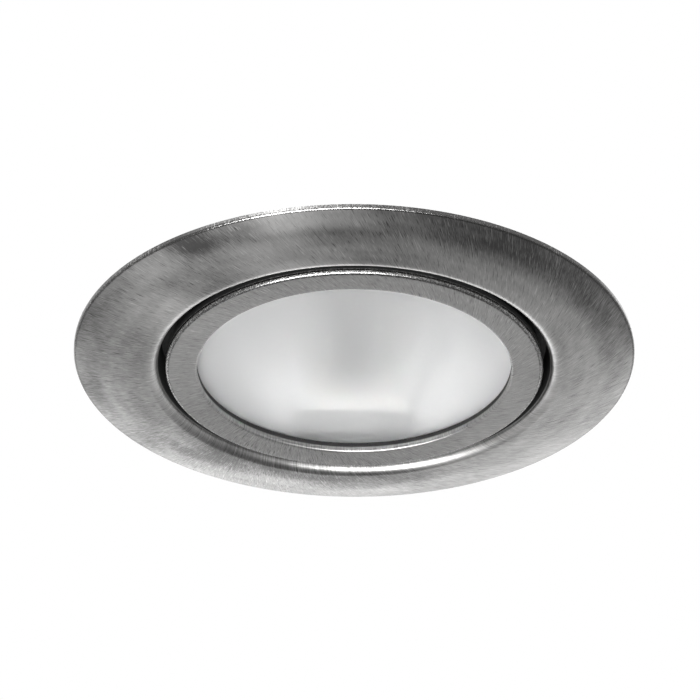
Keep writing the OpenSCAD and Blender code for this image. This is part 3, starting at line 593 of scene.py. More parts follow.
# spun metal, with painted shade on the underside of its rim
def turnedMaterial(name, dark, light, rough, paintedShadeRim):
    material, tree, shader = newMaterial(name, anisotropic=0.5)
    turned = useGroup(tree, "turned")
    edge = useGroup(tree, "edges")["Edge"]
    tone = timesPlus(tree, edge, 0.3, fromNoise(tree, turned["Line"]))
    colour = mixColour(tree, spread(tree, tone, 0.0, 1.0), dark, light)
    # the underside of the rim, seen through the gap, is coloured near black: painted shade
    zone = useGroup(tree, "zone", Radius=paintedShadeRim[0], Height=paintedShadeRim[1], Soft=0.00005)
    paintedShade = times(tree, zone["Outside"], inverse(tree, zone["Above"]))
    colour = mixColour(tree, paintedShade, colour, (0.008, 0.008, 0.008))
    roughness = fromNoise(tree, turned["Wander"], *rough)
    feed(tree, shader, colour, roughness, turned["Line"], 0.000005, inverse(tree, paintedShade))
    turnGrain(tree, shader)
    return material


def mouldedMaterial(name, dark, light, rough, grain=9000.0, depth=0.00001, worn=None, dust=0.0, **sockets):
    material, tree, shader = newMaterial(name, **sockets)
    made = useGroup(tree, "grain", Grain=grain)
    edge = useGroup(tree, "edges")["Edge"]
    tone = plus(tree, fromNoise(tree, made["Height"], 0, 0.5), fromNoise(tree, made["Cloud"], 0, 0.5))
    colour = mixColour(tree, tone, dark, light)
    colour = mixColour(tree, times(tree, edge, 0.6), colour, worn or light)
    roughness = fromNoise(tree, made["Cloud"], *rough)
    if dust:
        colour, roughness = dusted(tree, dust, colour, roughness, 0.3)[1:]
    feed(tree, shader, colour, roughness, made["Height"], depth)
    return material


# sand-blasted glass: scatters what is behind it and whitens
frostLook = {"white": (0.985, 0.985, 0.985), "transmission": 0.915, "rough": (0.36, 0.42), "grain": 14000.0}


def frostedMaterial(name):
    material, tree, shader = newMaterial(name, transmission=frostLook["transmission"], ior=1.45)
    made = useGroup(tree, "grain", Grain=frostLook["grain"], Cloud=90.0)
    dimmer = [c * 0.985 for c in frostLook["white"]]
    colour = mixColour(tree, fromNoise(tree, made["Cloud"]), dimmer, frostLook["white"])
    roughness = fromNoise(tree, made["Height"], *frostLook["rough"])
    feed(tree, shader, colour, roughness, made["Height"], 0.000002)
    return material


quartzLook = {"dark": (0.96, 0.97, 0.97), "light": (0.99, 0.995, 0.995), "rough": (0.02, 0.07)}
foamLook = {"dark": (0.012, 0.012, 0.013), "light": (0.045, 0.046, 0.048), "rough": (0.85, 0.98),
            "cells": 4200.0}


def quartzMaterial(name):
    material, tree, shader = newMaterial(name, transmission=1.0, ior=1.46)
    made = useGroup(tree, "grain", Grain=1500.0, Cloud=260.0)
    colour = mixColour(tree, made["Cloud"], quartzLook["dark"], quartzLook["light"])
    roughness = fromNoise(tree, made["Height"], *quartzLook["rough"])
    feed(tree, shader, colour, roughness, made["Cloud"])
    return material


def foamMaterial(name):
    material, tree, shader = newMaterial(name, specular=0.25, sheen=0.15)
    bubbles = {"Vector": objectPlace(tree), "Scale": foamLook["cells"]}
    cells = addNode(tree, "TexVoronoi", bubbles, feature="F1").outputs["Distance"]
    grain = useGroup(tree, "grain", Grain=2600.0, Cloud=200.0)
    colour = mixColour(tree, spread(tree, cells, 0.0, 0.7), foamLook["dark"], foamLook["light"])
    height = timesPlus(tree, grain["Height"], 0.5, cells)
    feed(tree, shader, colour, fromNoise(tree, grain["Cloud"], *foamLook["rough"]), height, 0.00009)
    return material


zinc = ((0.34, 0.35, 0.36), (0.66, 0.67, 0.68))
materials = {
    "satin_nickel_flange": nickelMaterial("satinNickelFlange", nickelLook["flange"]),
    "satin_nickel_bezel": nickelMaterial("satinNickelBezel", nickelLook["bezel"]),
    "foam_seal": foamMaterial("closedCellFoam"),
    "zinc_sheet": sheetMaterial("zincSheet", *zinc, (0.28, 0.42), spangle=0.22, dust=0.22),
    "reflector_sheet": turnedMaterial(
        "spunAluminium", (0.92, 0.92, 0.92), (0.985, 0.985, 0.985), (0.5, 0.62), (0.0272, 0.0029)),
    "ceramic": mouldedMaterial(
        "steatite", (0.76, 0.755, 0.735), (0.86, 0.855, 0.84), (0.38, 0.5), 5200.0, 0.000012,
        subsurface=0.05, subsurfaceScale=0.0004),
    "contact_metal": sheetMaterial("platedBrass", (0.52, 0.44, 0.24), (0.80, 0.71, 0.45), (0.25, 0.36)),
    "strap_steel": sheetMaterial("strapSteel", (0.84, 0.845, 0.85), (0.95, 0.95, 0.95), (0.5, 0.62)),
    "screw_steel": sheetMaterial(
        "screwSteel", (0.42, 0.43, 0.44), (0.74, 0.75, 0.77), (0.22, 0.34), 3000.0, 3000.0),
    "lead_sleeve": mouldedMaterial(
        "siliconeSleeve", (0.74, 0.72, 0.67), (0.85, 0.83, 0.79), (0.42, 0.55), 4000.0,
        subsurface=0.1, subsurfaceScale=0.0005),
    "black_rubber": mouldedMaterial(
        "blackRubber", (0.012, 0.012, 0.013), (0.035, 0.035, 0.037), (0.5, 0.66), 3600.0, 0.00002,
        (0.07, 0.07, 0.072), 0.15),
    "terminal_plastic": mouldedMaterial(
        "naturalNylon", (0.68, 0.66, 0.59), (0.80, 0.78, 0.72), (0.38, 0.5)),
    "terminal_brass": sheetMaterial("terminalBrass", (0.50, 0.36, 0.14), (0.82, 0.63, 0.30), (0.22, 0.34)),
    "cover_plastic": mouldedMaterial(
        "coverPlastic", (0.016, 0.017, 0.019), (0.04, 0.042, 0.045), (0.44, 0.56), 5200.0, 0.00003,
        (0.09, 0.092, 0.096), 0.18),
    "spring_steel": sheetMaterial(
        "springSteel", (0.30, 0.305, 0.31), (0.62, 0.625, 0.63), (0.25, 0.38), dust=0.08),
    "rivet_steel": sheetMaterial(
        "rivetSteel", (0.38, 0.38, 0.385), (0.68, 0.68, 0.69), (0.24, 0.36), 3000.0, 3000.0),
    "spring_wire": sheetMaterial(
        "springWire", (0.22, 0.22, 0.225), (0.52, 0.52, 0.53), (0.22, 0.32), 2600.0, 2600.0),
    "clip_rubber": mouldedMaterial(
        "dippedRubber", (0.01, 0.01, 0.011), (0.03, 0.03, 0.032), (0.36, 0.52), 1800.0, 0.00003,
        (0.06, 0.06, 0.062)),
    "lens_seal": mouldedMaterial(
        "lensSilicone", (0.62, 0.62, 0.61), (0.74, 0.74, 0.73), (0.45, 0.6), 3000.0),
    "frosted_glass": frostedMaterial("frostedGlass"),
    # the snap springs sit in the gap and are coloured near black: painted shade
    "snap_strip": mouldedMaterial(
        "paintedShadeStrip", (0.003, 0.003, 0.0035), (0.009, 0.009, 0.010), (0.7, 0.85), 5200.0, 0.000004,
        specular=0.05),
    "lamp_glass": quartzMaterial("clearQuartz"),
    "filament_wire": sheetMaterial(
        "tungstenWire", (0.13, 0.125, 0.12), (0.34, 0.33, 0.32), (0.35, 0.5), 2600.0, 2600.0),
    "pin_metal": sheetMaterial(
        "platedPin", (0.50, 0.50, 0.51), (0.78, 0.78, 0.79), (0.2, 0.3), 2600.0, 2600.0),
}
slotOf = {part["node"]: part["material_slot"] for part in frame["record"]["subparts"]}
print("materials built:", len(materials))


def coat(piece, slot):
    piece.data.materials.clear()
    piece.data.materials.append(materials[slot])


# a new piece that stands for CAD nodes and rides where they ride
def finishPiece(piece, body, *stoodFor, slot=None, material=None):
    slot = slot or slotOf[stoodFor[0]]
    coat(piece, material or slot)
    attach(piece, body)
    if stoodFor:
        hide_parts(*stoodFor)
    return piece


# a CAD node that stays: welded, with broken edges
def dressNode(name, edge):
    piece = cad[name]
    coat(piece, slotOf[name])
    weld = piece.modifiers.new("weld", "WELD")
    weld.merge_threshold = 1e-6
    if edge:
        bevel = piece.modifiers.new("brokenEdges", "BEVEL")
        bevel.width = edge * mm
        bevel.segments = 2
        bevel.limit_method = "ANGLE"
        bevel.angle_limit = math.radians(35)
        bevel.harden_normals = True
    return piece


# trim flange

trim = {
    "rim": 42.5, "rimHeight": 0.7, "slope": 13, "curve": 6.5, "lipRadius": 1.6, "edgeRadius": 0.35,
    "aperture": 29.7, "wallRows": (4.8, 2.0, -0.6), "neck": 30.7, "neckTop": 5.0, "seat": 39.7,
    "rearEdge": 0.06, "neckFillet": ((0.35, 0.06), (0.1, 0.12), (0, 0.4)), "steps": 384,
}


def offAxis(radius, slope):
    return Vector((math.sin(slope), -math.cos(slope))) * radius


# the front is one shallow curve, flatter at the lip and steeper at the rim
def buildFlange():
    t = trim
    mean, lipSlope, rimSlope = [math.radians(t["slope"] + k * t["curve"]) for k in (0, -1, 1)]
    edge = t["edgeRadius"]
    edgeHeight = edge * (1 / math.cos(rimSlope) - math.tan(rimSlope)) - t["rimHeight"]
    edgeCentre = Vector((t["rim"] - edge, edgeHeight))
    rimEnd = edgeCentre + offAxis(edge, rimSlope)
    lipX = t["aperture"] + t["lipRadius"] * (1 + math.sin(lipSlope))
    lipEnd = Vector((lipX, rimEnd.y - (rimEnd.x - lipX) * math.tan(mean)))
    lipCentre = lipEnd - offAxis(t["lipRadius"], lipSlope)
    frontRadius = (rimEnd.x - lipEnd.x) / (math.sin(rimSlope) - math.sin(lipSlope))
    frontCentre = lipEnd - offAxis(frontRadius, lipSlope)
    first, last = 270 + math.degrees(lipSlope), 270 + math.degrees(rimSlope)
    rearZ = -(t["seat"] - t["neck"]) * math.tan(mean)
    outline = [(t["aperture"], height) for height in t["wallRows"]]
    outline += arcPoints(lipCentre, t["lipRadius"], 180, first, 20)
    outline += arcPoints(frontCentre, frontRadius, first, last, 40)[1:-1]
    outline += arcPoints(edgeCentre, edge, last, 360, 14)
    outline += [(t["rim"], -t["rearEdge"]), (t["rim"] - t["rearEdge"], 0), (t["seat"], 0)]
    outline += [(t["neck"] + out, rearZ + up) for out, up in t["neckFillet"]]
    outline += [(t["neck"], t["neckTop"] - 0.15), (t["neck"] - 0.15, t["neckTop"])]
    outline += [(t["aperture"] + 0.2, t["neckTop"])]
    low = cadBox[0].z / mm   # rounding must not take it past the CAD box
    outline = [(radius, max(height, low)) for radius, height in outline]
    return lathe("trim_ring", outline, t["steps"], closed=True, sharpAngle=30)


finishPiece(buildFlange(), "fixture", "trim_flange")

# foam gasket, soft and a little uneven
gasket = {"inner": 33.1, "outer": 38.8, "top": 0.3, "lift": 0.02, "seat": 39.7, "wave": 0.05, "steps": 288}


def buildGasket():
    g = gasket
    drop = math.tan(math.radians(trim["slope"]))
    random.seed(11)
    phases = [random.uniform(0, 2 * math.pi) for k in range(4)]
    rings = []
    for turn in fullTurn(g["steps"]):
        wave = sum(math.sin(turn * n + p) for n, p in zip((3, 7, 19, 31), phases)) / 4 * g["wave"]
        inner, outer = g["inner"] + wave, g["outer"] - wave
        innerLow, outerLow = [g["lift"] - (g["seat"] - reach) * drop for reach in (inner, outer)]
        section = rounded([(inner, g["top"], 0.35), (outer, g["top"], 0.35), (outer, outerLow, 0.08),
                           (inner, innerLow, 0.2)], 5)
        rings.append([Vector((*onCircle((0, 0), r, turn), z)) for r, z in section])
    return skin("foam_ring", rings, closed=True)


finishPiece(buildGasket(), "fixture", "flange_gasket")
print("flange and gasket built")

# housing can, a drawn cup with soft shoulders and a pressed bead

can = {
    "outer": 31.5, "wall": 0.7, "bottom": 0.3, "low": 4.9, "shoulder": (30.6, 6.2), "roofRadius": 22.0,
    "roof": 12.4, "beadRadius": 21.2, "beadWidth": 0.6, "beadSlope": 0.3, "beadDepth": 0.22, "steps": 256,
    "leadHole": 3.1, "strapHole": 1.3, "earHole": 1.05, "rivetHole": 0.85, "rivetAt": 31,
}
holder = {"leadY": sum(c.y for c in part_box("lead_grommet")) / 2 / mm}
footAt = (14.6, 9.2)
earAt = (14.6, -0.5)
rivetsAt = (3.9, 1.85)


def buildCan():
    c = can
    top, wall, inner = c["roof"], c["wall"], c["outer"] - c["wall"]
    bead, sunk, slope = c["beadRadius"], top - c["beadDepth"], c["beadSlope"]
    shoulder, shoulderTop = c["shoulder"]
    outline = rounded([
        (c["outer"], c["bottom"], 0.1), (c["outer"], c["low"], 1.4), (shoulder, shoulderTop, 1.4),
        (c["roofRadius"], top, 1.2), (bead + slope, top, 0.15), (bead, sunk, 0.15),
        (bead - c["beadWidth"], sunk, 0.15), (bead - c["beadWidth"] - slope, top, 0.15),
        (0.3, top, 0), (0.3, top - wall, 0), (c["roofRadius"] - wall * 0.35, top - wall, 0.6),
        (shoulder - wall, shoulderTop - wall * 0.4, 1.0), (inner, c["low"], 1.0),
        (inner, c["bottom"], 0.1)], 6)
    piece = lathe("housing_cup", outline, c["steps"], closed=True)
    tools = [cylinderTool((0, holder["leadY"], top), zAxis, c["leadHole"], 3)]
    for side in (-1, 1):
        tools.append(cylinderTool((side * footAt[0], footAt[1], top), zAxis, c["strapHole"], 3))
        tools.append(cylinderTool((side * earAt[0], earAt[1], top), zAxis, c["earHole"], 3))
        for y in (-rivetsAt[0], rivetsAt[0]):
            tools.append(cylinderTool((side * c["rivetAt"], y, rivetsAt[1]), xAxis, c["rivetHole"], 3))
    return combine(piece, tools, "DIFFERENCE")


finishPiece(buildCan(), "fixture", "housing_can")

# terminal cover, a moulded box with crowned edges, a sunk panel and two ears

cover = {
    "width": 24.0, "front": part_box("terminal_cover")[0].y / mm, "back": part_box("terminal_cover")[1].y / mm,
    "bottom": 12.4, "top": 19.6, "corner": 8.0, "wall": 1.1, "crown": 1.3, "panelInset": 2.6,
    "panelDepth": 0.25, "earRadius": 2.3, "earTop": 14.4, "earHole": 1.05, "cableZ": 15.45,
    "cableHole": 2.5, "grooveDepth": 0.12, "vent": (5.5, 3.2, 1.1), "ventPitch": 2.6,
}


def coverOutline(inset):
    c = cover
    half, corner = c["width"] / 2 - inset, max(c["corner"] - inset, 0.5)
    return rectOutline(-half, half, c["front"] + inset, c["back"] - inset, corner, 12)


def buildCover():
    c = cover
    bottom, top, crown, groove = c["bottom"], c["top"], c["crown"], c["grooveDepth"]
    levels = [(c["wall"], top - c["wall"]), (c["wall"], bottom), (0, bottom), (0, bottom + 1.6),
              (groove, bottom + 1.7), (groove, bottom + 1.95), (0, bottom + 2.05)]
    for k in range(7):
        turn = math.pi / 2 * k / 6
        levels.append((crown * (1 - math.cos(turn)), top - crown * (1 - math.sin(turn))))
    panel = ((-0.1, 0), (0.05, -0.05), (0.15, 0.05 - c["panelDepth"]), (0.3, -c["panelDepth"]))
    levels += [(c["panelInset"] + inset, top + rise) for inset, rise in panel]
    rings = [[Vector((x, y, level)) for x, y in coverOutline(inset)] for inset, level in levels]
    piece = skin("wiring_cover", rings)
    ears = []
    holes = [cylinderTool((0, c["front"], c["cableZ"]), yAxis, c["cableHole"], 4)]
    y0, y1 = earAt[1] - c["earRadius"], earAt[1] + c["earRadius"]
    for side in (-1, 1):
        x0, x1 = sorted((side * (c["width"] / 2 - 0.6), side * (earAt[0] + c["earRadius"])))
        outer = [(x, y, c["earRadius"] - 0.02 if x * side > c["width"] / 2 else 0.2)
                 for x, y in ((x0, y0), (x1, y0), (x1, y1), (x0, y1))]
        ears.append(slab("ear", rounded(outer, 8), bottom, c["earTop"], upright, 0.3))
        holes.append(cylinderTool((side * earAt[0], earAt[1], bottom + 1), zAxis, c["earHole"], 5))
    half, low, wide = c["vent"]
    for k in (-1, 0, 1):
        start = low + k * c["ventPitch"]
        vent = rectOutline(-half, half, start, start + wide, 0.5)
        holes.append(slab("slot", vent, top - 0.5, top + 1, upright, 0.05))
    combine(piece, ears, "UNION")
    return combine(piece, holes, "DIFFERENCE")


finishPiece(buildCover(), "fixture", "terminal_cover")

# cable grommet

cableGrommet = {"z": 15.45, "bore": 1.9, "lip": 3.0, "neck": 2.5, "lipWidth": 1.2}


def buildCableGrommet():
    g = cableGrommet
    low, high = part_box("cable_grommet")
    start, length = low.y / mm, (high.y - low.y) / mm
    first, last = g["lipWidth"], length - g["lipWidth"]
    outline = rounded([
        (g["bore"], 0, 0.25), (g["lip"], 0, 0.4), (g["lip"], first, 0.25), (g["neck"], first, 0.05),
        (g["neck"], last, 0.05), (g["lip"], last, 0.25), (g["lip"], length, 0.4),
        (g["bore"], length, 0.25)], 4)
    return lathe("cable_seal", outline, 64, closed=True, origin=(0, start, g["z"]), axis=yAxis)


finishPiece(buildCableGrommet(), "fixture", "cable_grommet")

# screws, nuts and rivets

screwLook = {
    "strap": {"node": "holder_screws", "radius": 1.25, "head": 2.3, "headHeight": 1.3, "pitch": 0.45,
              "slot": 0.5},
    "cover": {"node": "cover_screws", "radius": 1.0, "head": 1.9, "headHeight": 1.0, "pitch": 0.4,
              "slot": 0.45},
}


# a pan head with a cross recess and a threaded shank that points along +axis from origin
def buildScrew(name, look, origin, axis, shank):
    radius, head, high = look["radius"], look["head"], look["headHeight"]
    outline = rounded([(0.02, -high, 0), (head * 0.8, -high, high * 0.5), (head, -high * 0.35, 0.12),
                       (head, 0, 0.08), (radius * 0.8, 0, 0)], 5)[:-1]
    outline += [(radius * 0.86, 0.01), (radius * 0.86, 0.1)]
    piece = lathe(name, outline, 48, origin=origin, axis=axis)
    side = axis.cross(xAxis)
    top = Vector(origin) - axis * high
    tools = []
    for first, second in ((xAxis, side), (side, xAxis)):
        rings = []
        for deep, narrow in ((-1, 1.0), (0, 1.0), (high * 0.55, 0.7)):
            u, v = first * head * 0.68 * narrow, second * look["slot"] / 2
            rings.append([top + axis * deep + k for k in (-u - v, u - v, u + v, v - u)])
        tools.append(skin("recess", rings))
    combine(piece, tools, "DIFFERENCE")
    threadStart = 0.08
    thread = buildThread(name + "_thread", radius, look["pitch"], Vector(origin) + axis * threadStart, axis,
                         shank - threadStart)
    return piece, thread


# one unbroken helical ridge on a core, made as rings that shift along the axis
def buildThread(name, radius, pitch, origin, axis, length, steps=24):
    count = int(length / pitch * 6)
    rings = []
    for i in range(count + 1):
        height = length * i / count
        fade = min(1.0, (length - height) / pitch + 0.35)
        ring = []
        for turn, spoke in zip(fullTurn(steps), spokesAbout(axis, steps)):
            wave = math.cos(2 * math.pi * height / pitch - turn)
            reach = radius * (0.9 + 0.1 * wave) * (0.75 + 0.25 * fade)
            ring.append(origin + axis * height + reach * spoke)
        rings.append(ring)
    return skin(name, rings, sharpAngle=60)


def buildScrews():
    for label, side in sides:
        for kind, at, axis in (("strap", footAt, zAxis), ("cover", earAt, -zAxis)):
            look = screwLook[kind]
            low, high = [c.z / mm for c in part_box(look["node"])]
            seat = low + look["headHeight"] if axis.z > 0 else high - look["headHeight"]
            shank = high - seat if axis.z > 0 else seat - low
            origin = (side * at[0], at[1], seat)
            head, thread = buildScrew(kind + "_screw_" + label, look, origin, axis, shank)
            finishPiece(head, "fixture", look["node"])
            finishPiece(thread, "fixture", slot="screw_steel")


buildScrews()

nut = {"radius": 2.5, "bore": 1.28, "bottom": 12.4, "height": 1.8, "chamfer": 0.28, "boreEdge": 0.15,
       "steps": 72}


def buildNut(label, side):
    n = nut
    apothem = n["radius"] * math.cos(math.pi / 6)
    lower = [(n["bore"], n["boreEdge"], False), (n["bore"] + n["boreEdge"], 0, False),
             (apothem - 0.1, 0, False), (n["radius"], n["chamfer"], True)]
    profile = lower + [(reach, n["height"] - height, hexed) for reach, height, hexed in lower[::-1]]
    centre = (side * footAt[0], footAt[1])
    rings = []
    for reach, height, hexed in profile:
        ring = []
        for turn in fullTurn(n["steps"]):
            flat = apothem / math.cos((turn + math.radians(30)) % (math.pi / 3) - math.pi / 6)
            radius = min(reach, flat) if hexed else reach
            ring.append(Vector((*onCircle(centre, radius, turn), n["bottom"] + height)))
        rings.append(ring)
    return skin("strap_nut_" + label, rings, closed=True, sharpAngle=25)


for label, side in sides:
    finishPiece(buildNut(label, side), "fixture", "holder_nuts")

rivet = {"radius": 0.8, "head": 1.3, "headHeight": 0.7, "inner": 29.8, "seat": 32.25}


def buildRivets():
    r = rivet
    length = r["seat"] - r["inner"]
    dome = domeOutline(r["head"], length + 0.15, r["headHeight"] - 0.15)
    outline = [(r["radius"] - 0.08, 0), (r["radius"], 0.08), (r["radius"], length)]
    outline += [(r["head"] - 0.05, length)] + dome
    for label, side in sides:
        for k, y in enumerate((-rivetsAt[0], rivetsAt[0])):
            piece = lathe("bracket_rivet_" + label + "_" + str(k), outline, 40,
                          origin=(side * r["inner"], y, rivetsAt[1]), axis=xAxis * side)
            finishPiece(piece, "fixture", "bracket_rivets")


buildRivets()

pin = {"x": 34.65, "z": 5.2, "radius": 1.0, "head": 1.5, "headThick": 0.6, "halfLength": 6.75}


def buildPins():
    p = pin
    half = p["halfLength"]
    upper = [(p["radius"], half), (p["head"] - 0.05, half)]
    upper += domeOutline(p["head"], half + 0.12, p["headThick"] - 0.12)
    outline = [(r, -y) for r, y in upper[::-1]] + upper
    for label, side in sides:
        piece = lathe("hinge_pin_" + label, outline, 40, origin=(side * p["x"], 0, p["z"]), axis=yAxis)
        finishPiece(piece, "fixture", "clip_pin_" + label)


buildPins()
print("housing, cover and fixings built")

# torsion springs: a leg on the bracket, the coil round the pin, a leg on the arm

torsion = {"wire": 0.7, "coil": 1.75, "pitch": 1.15, "turns": 3.25, "perTurn": 26, "sides": 12,
           "reach": 3.5, "foot": 1.3, "tilt": 6.0, "armTop": -0.2, "bow": 0.9}


def springRoute(side):
    t = torsion

    def coilPoint(turn):
        x, z = onCircle((pin["x"], pin["z"]), t["coil"], math.pi - 2 * math.pi * turn)
        return Vector((x, t["pitch"] * (turn - t["turns"] / 2), z))

    first, last = coilPoint(0), coilPoint(t["turns"])
    foot = Vector((first.x, first.y, t["foot"]))
    top = pin["z"] + t["armTop"] - t["reach"] * math.tan(math.radians(t["tilt"])) + t["wire"] / 2 + 0.1
    end = Vector((pin["x"] + t["reach"], last.y, top))
    steps = round(t["turns"] * t["perTurn"])
    route = [foot.lerp(first, k / 10) for k in range(10)]
    route += [coilPoint(t["turns"] * k / steps) for k in range(steps + 1)]
    route += [last.lerp(end, k / 10) + zAxis * (t["bow"] * k / 10 * (1 - k / 10)) for k in range(1, 11)]
    return mirrored(route, side)


for label, side in sides:
    spring = wirePiece("torsion_spring_" + label, springRoute(side), torsion["wire"] / 2, torsion["sides"])
    coat(spring, "spring_wire")
    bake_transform(spring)
    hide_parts("clip_spring_" + label)

# rubber caps on the arms' ends

sleeve = {"start": 4.2, "end": 6.8, "half": 6.4, "thick": 2.4, "mid": -0.6, "tilt": 6.0, "pocket": 5.9,
          "pocketHalf": 5.82, "slit": 0.42, "edge": 0.5, "corner": 2.2, "rows": 20}


def buildSleeve(label, side):
    s = sleeve
    tilt = Matrix.Rotation(math.radians(s["tilt"]), 3, "Y")
    closed = [(s["pocketHalf"] + 0.005, False)]
    closed += [(s["half"] - s["edge"] * (1 - math.sin(math.radians(a))), False) for a in range(0, 91, 15)]
    opened = [(s["pocketHalf"] * (2 * k / s["rows"] - 1), True) for k in range(s["rows"] + 1)]
    rings = []
    for y, pocketed in [(-y, p) for y, p in closed[::-1]] + opened + closed:
        over = max(0.0, abs(y) - s["half"] + s["edge"]) / s["edge"]
        h = s["thick"] / 2 * math.sqrt(max(1 - over * over, 0.001))
        out = min(max(0.0, abs(y) - s["half"] + s["corner"]), s["corner"])
        nose = s["end"] - s["corner"] + math.sqrt(s["corner"] ** 2 - out ** 2)
        x0, slit = s["start"], min(s["slit"], h * 0.8)
        deep = s["pocket"] if pocketed else x0 + 0.02
        corners = [(x0, -h, h * 0.2), (nose, -h, h * 0.99), (nose, h, h * 0.99), (x0, h, h * 0.2)]
        section = rounded(corners, 6) + [(x0, slit), (deep, slit), (deep, -slit), (x0, -slit)]
        rings.append([pinPlace(tilt, x, y, z + s["mid"], side) for x, z in section])
    return skin("arm_cap_" + label, rings)


def pinPlace(tilt, x, y, z, side):
    turned = tilt @ Vector((x, y, z))
    return Vector((side * (pin["x"] + turned.x), turned.y, pin["z"] + turned.z))


for label, side in sides:
    finishPiece(buildSleeve(label, side), "clip_" + label, "clip_sleeve_" + label)
print("clips built")

# bezel ring with skirt and groove

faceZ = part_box("bezel_ring")[0].z / mm
bezel = {
    "outer": 28.65, "opening": 23.8, "face": faceZ, "back": faceZ + 1.6, "skirtOut": 27.4, "skirtIn": 26.4,
    "top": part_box("bezel_ring")[1].z / mm, "edge": 0.6, "openingEdge": 0.35, "backEdge": 0.1,
    "topEdge": 0.12, "foot": 0.15, "grooveRadius": 26.05, "grooveZ": faceZ + 4.4, "groove": 0.6,
    "steps": 384,
}


def buildBezel():
    b = bezel
    face, back, top, opening, outer = b["face"], b["back"], b["top"], b["opening"], b["outer"]
    skirtIn, skirtOut, lip, edge = b["skirtIn"], b["skirtOut"], b["openingEdge"], b["edge"]
    near, far, foot = b["backEdge"], b["topEdge"], b["foot"]
    outline = arcPoints((opening + lip, face + lip), lip, 180, 270, 12)
    rim = arcPoints((outer - edge, face + edge), edge, 270, 360, 12)
    start, end = outline[-1][0], rim[0][0]
    outline += [(start + (end - start) * k / 6, face) for k in range(1, 6)] + rim
    outline += [(outer, back - near), (outer - near, back), (skirtOut + foot, back), (skirtOut, back + foot)]
    outline += [(skirtOut, top - far), (skirtOut - far, top), (skirtIn + far, top), (skirtIn, top - far)]
    reach = math.degrees(math.acos((skirtIn - b["grooveRadius"]) / b["groove"]))
    outline += arcPoints((b["grooveRadius"], b["grooveZ"]), b["groove"], reach, -reach, 10)
    outline += [(skirtIn, back + near), (skirtIn - near, back), (opening + near, back), (opening, back - near)]
    return lathe("bezel_trim", outline, b["steps"], closed=True, sharpAngle=30)


finishPiece(buildBezel(), "bezel", "bezel_ring")

lens = {"radius": 26.1, "front": faceZ + 1.9, "back": faceZ + 3.9, "chamfer": 0.2, "steps": 192}


def buildLens():
    g = lens
    outline = rounded([(0.01, g["front"], 0), (g["radius"], g["front"], g["chamfer"]),
                       (g["radius"], g["back"], g["chamfer"]), (0.01, g["back"], 0)], 3)
    return lathe("frosted_lens", outline, g["steps"])


finishPiece(buildLens(), "bezel", "lens_glass")

seal = {"inner": 24.3, "outer": 26.1, "low": faceZ + 1.61, "high": faceZ + 1.89}
sealOutline = rounded([(seal["inner"], seal["low"], 0.1), (seal["outer"], seal["low"], 0.05),
                       (seal["outer"], seal["high"], 0.05), (seal["inner"], seal["high"], 0.1)], 3)
finishPiece(lathe("lens_seal", sealOutline, 192, closed=True), "bezel", "lens_gasket")

retainer = {"radius": 26.05, "z": faceZ + 4.4, "wire": 1.0, "gap": 30, "steps": 150}


def buildRetainer():
    r = retainer
    arc = arcPoints((0, 0), r["radius"], -90 + r["gap"] / 2, 270 - r["gap"] / 2, r["steps"])
    return wirePiece("retaining_wire", [(*point, r["z"]) for point in arc], r["wire"] / 2, 14)


finishPiece(buildRetainer(), "bezel", "lens_retainer")
print("bezel built")

# capsule lamp: quartz bulb, pressed pinch with foils, coiled filament and pins

lamp = {
    "z": sum(c.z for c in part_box("lamp_pins")) / 2 / mm, "base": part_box("lamp_pins")[0].y / mm + 5.5,
    "length": 21.0, "radius": 4.25, "wall": 0.6, "neck": 6.7, "mouth": 1.5, "shoulder": 2.4,
    "pinchWidth": 8.0, "pinchThick": 3.0, "pinPitch": 4.0, "pinRadius": 0.35, "pinInside": 5.5,
    "wireRadius": 0.2, "filamentAt": 12.5, "filamentWidth": 3.4, "filamentRadius": 0.5,
    "filamentTurns": 14, "filamentWire": 0.09, "pinReach": 7.135, "foilHalf": 0.7, "foilUp": 0.36,
    "foilSpan": (-3.6, -0.2), "dimple": 0.22, "dimpleHalf": 3.4, "dimpleSpan": (1.5, 5.0),
}


def lampPoint(x, along, up):
    return Vector((x, lamp["base"] - along, lamp["z"] + up))


def buildCapsule():
    p = lamp

    def wallLine(inset):
        radius, tip = p["radius"] - inset, p["length"] - inset
        start, mouth = p["neck"] + inset, p["mouth"] - inset / 2
        dome = p["length"] - p["radius"] * 0.8
        line = [(0.05, start), (mouth, start)]
        for k in range(1, 11):
            turn = math.radians(9 * k)
            rise = p["shoulder"] * (1 - math.cos(turn))
            line.append((mouth + (radius - mouth) * math.sin(turn), start + rise))
        for k in range(15):
            turn = math.radians(6 * k)
            line.append((radius * math.cos(turn), dome + (tip - dome) * math.sin(turn)))
        return line + [(0.05, tip)]

    tip = [(0.75, p["length"] - 0.16), (0.5, p["length"] - 0.02), (0.05, p["length"])]
    outer = lathe("lamp_bulb", wallLine(0)[:-3] + tip, 96, origin=(0, p["base"], p["z"]), axis=-yAxis)
    inner = lathe("tool", wallLine(p["wall"]), 96, origin=(0, p["base"], p["z"]), axis=-yAxis)
    both = bmesh.new()
    both.from_mesh(outer.data)
    count = len(both.faces)
    both.from_mesh(inner.data)
    both.faces.ensure_lookup_table()
    bmesh.ops.reverse_faces(both, faces=both.faces[count:])
    both.to_mesh(outer.data)
    both.free()
    bpy.data.objects.remove(inner)
    outer.data.shade_smooth()
    return outer


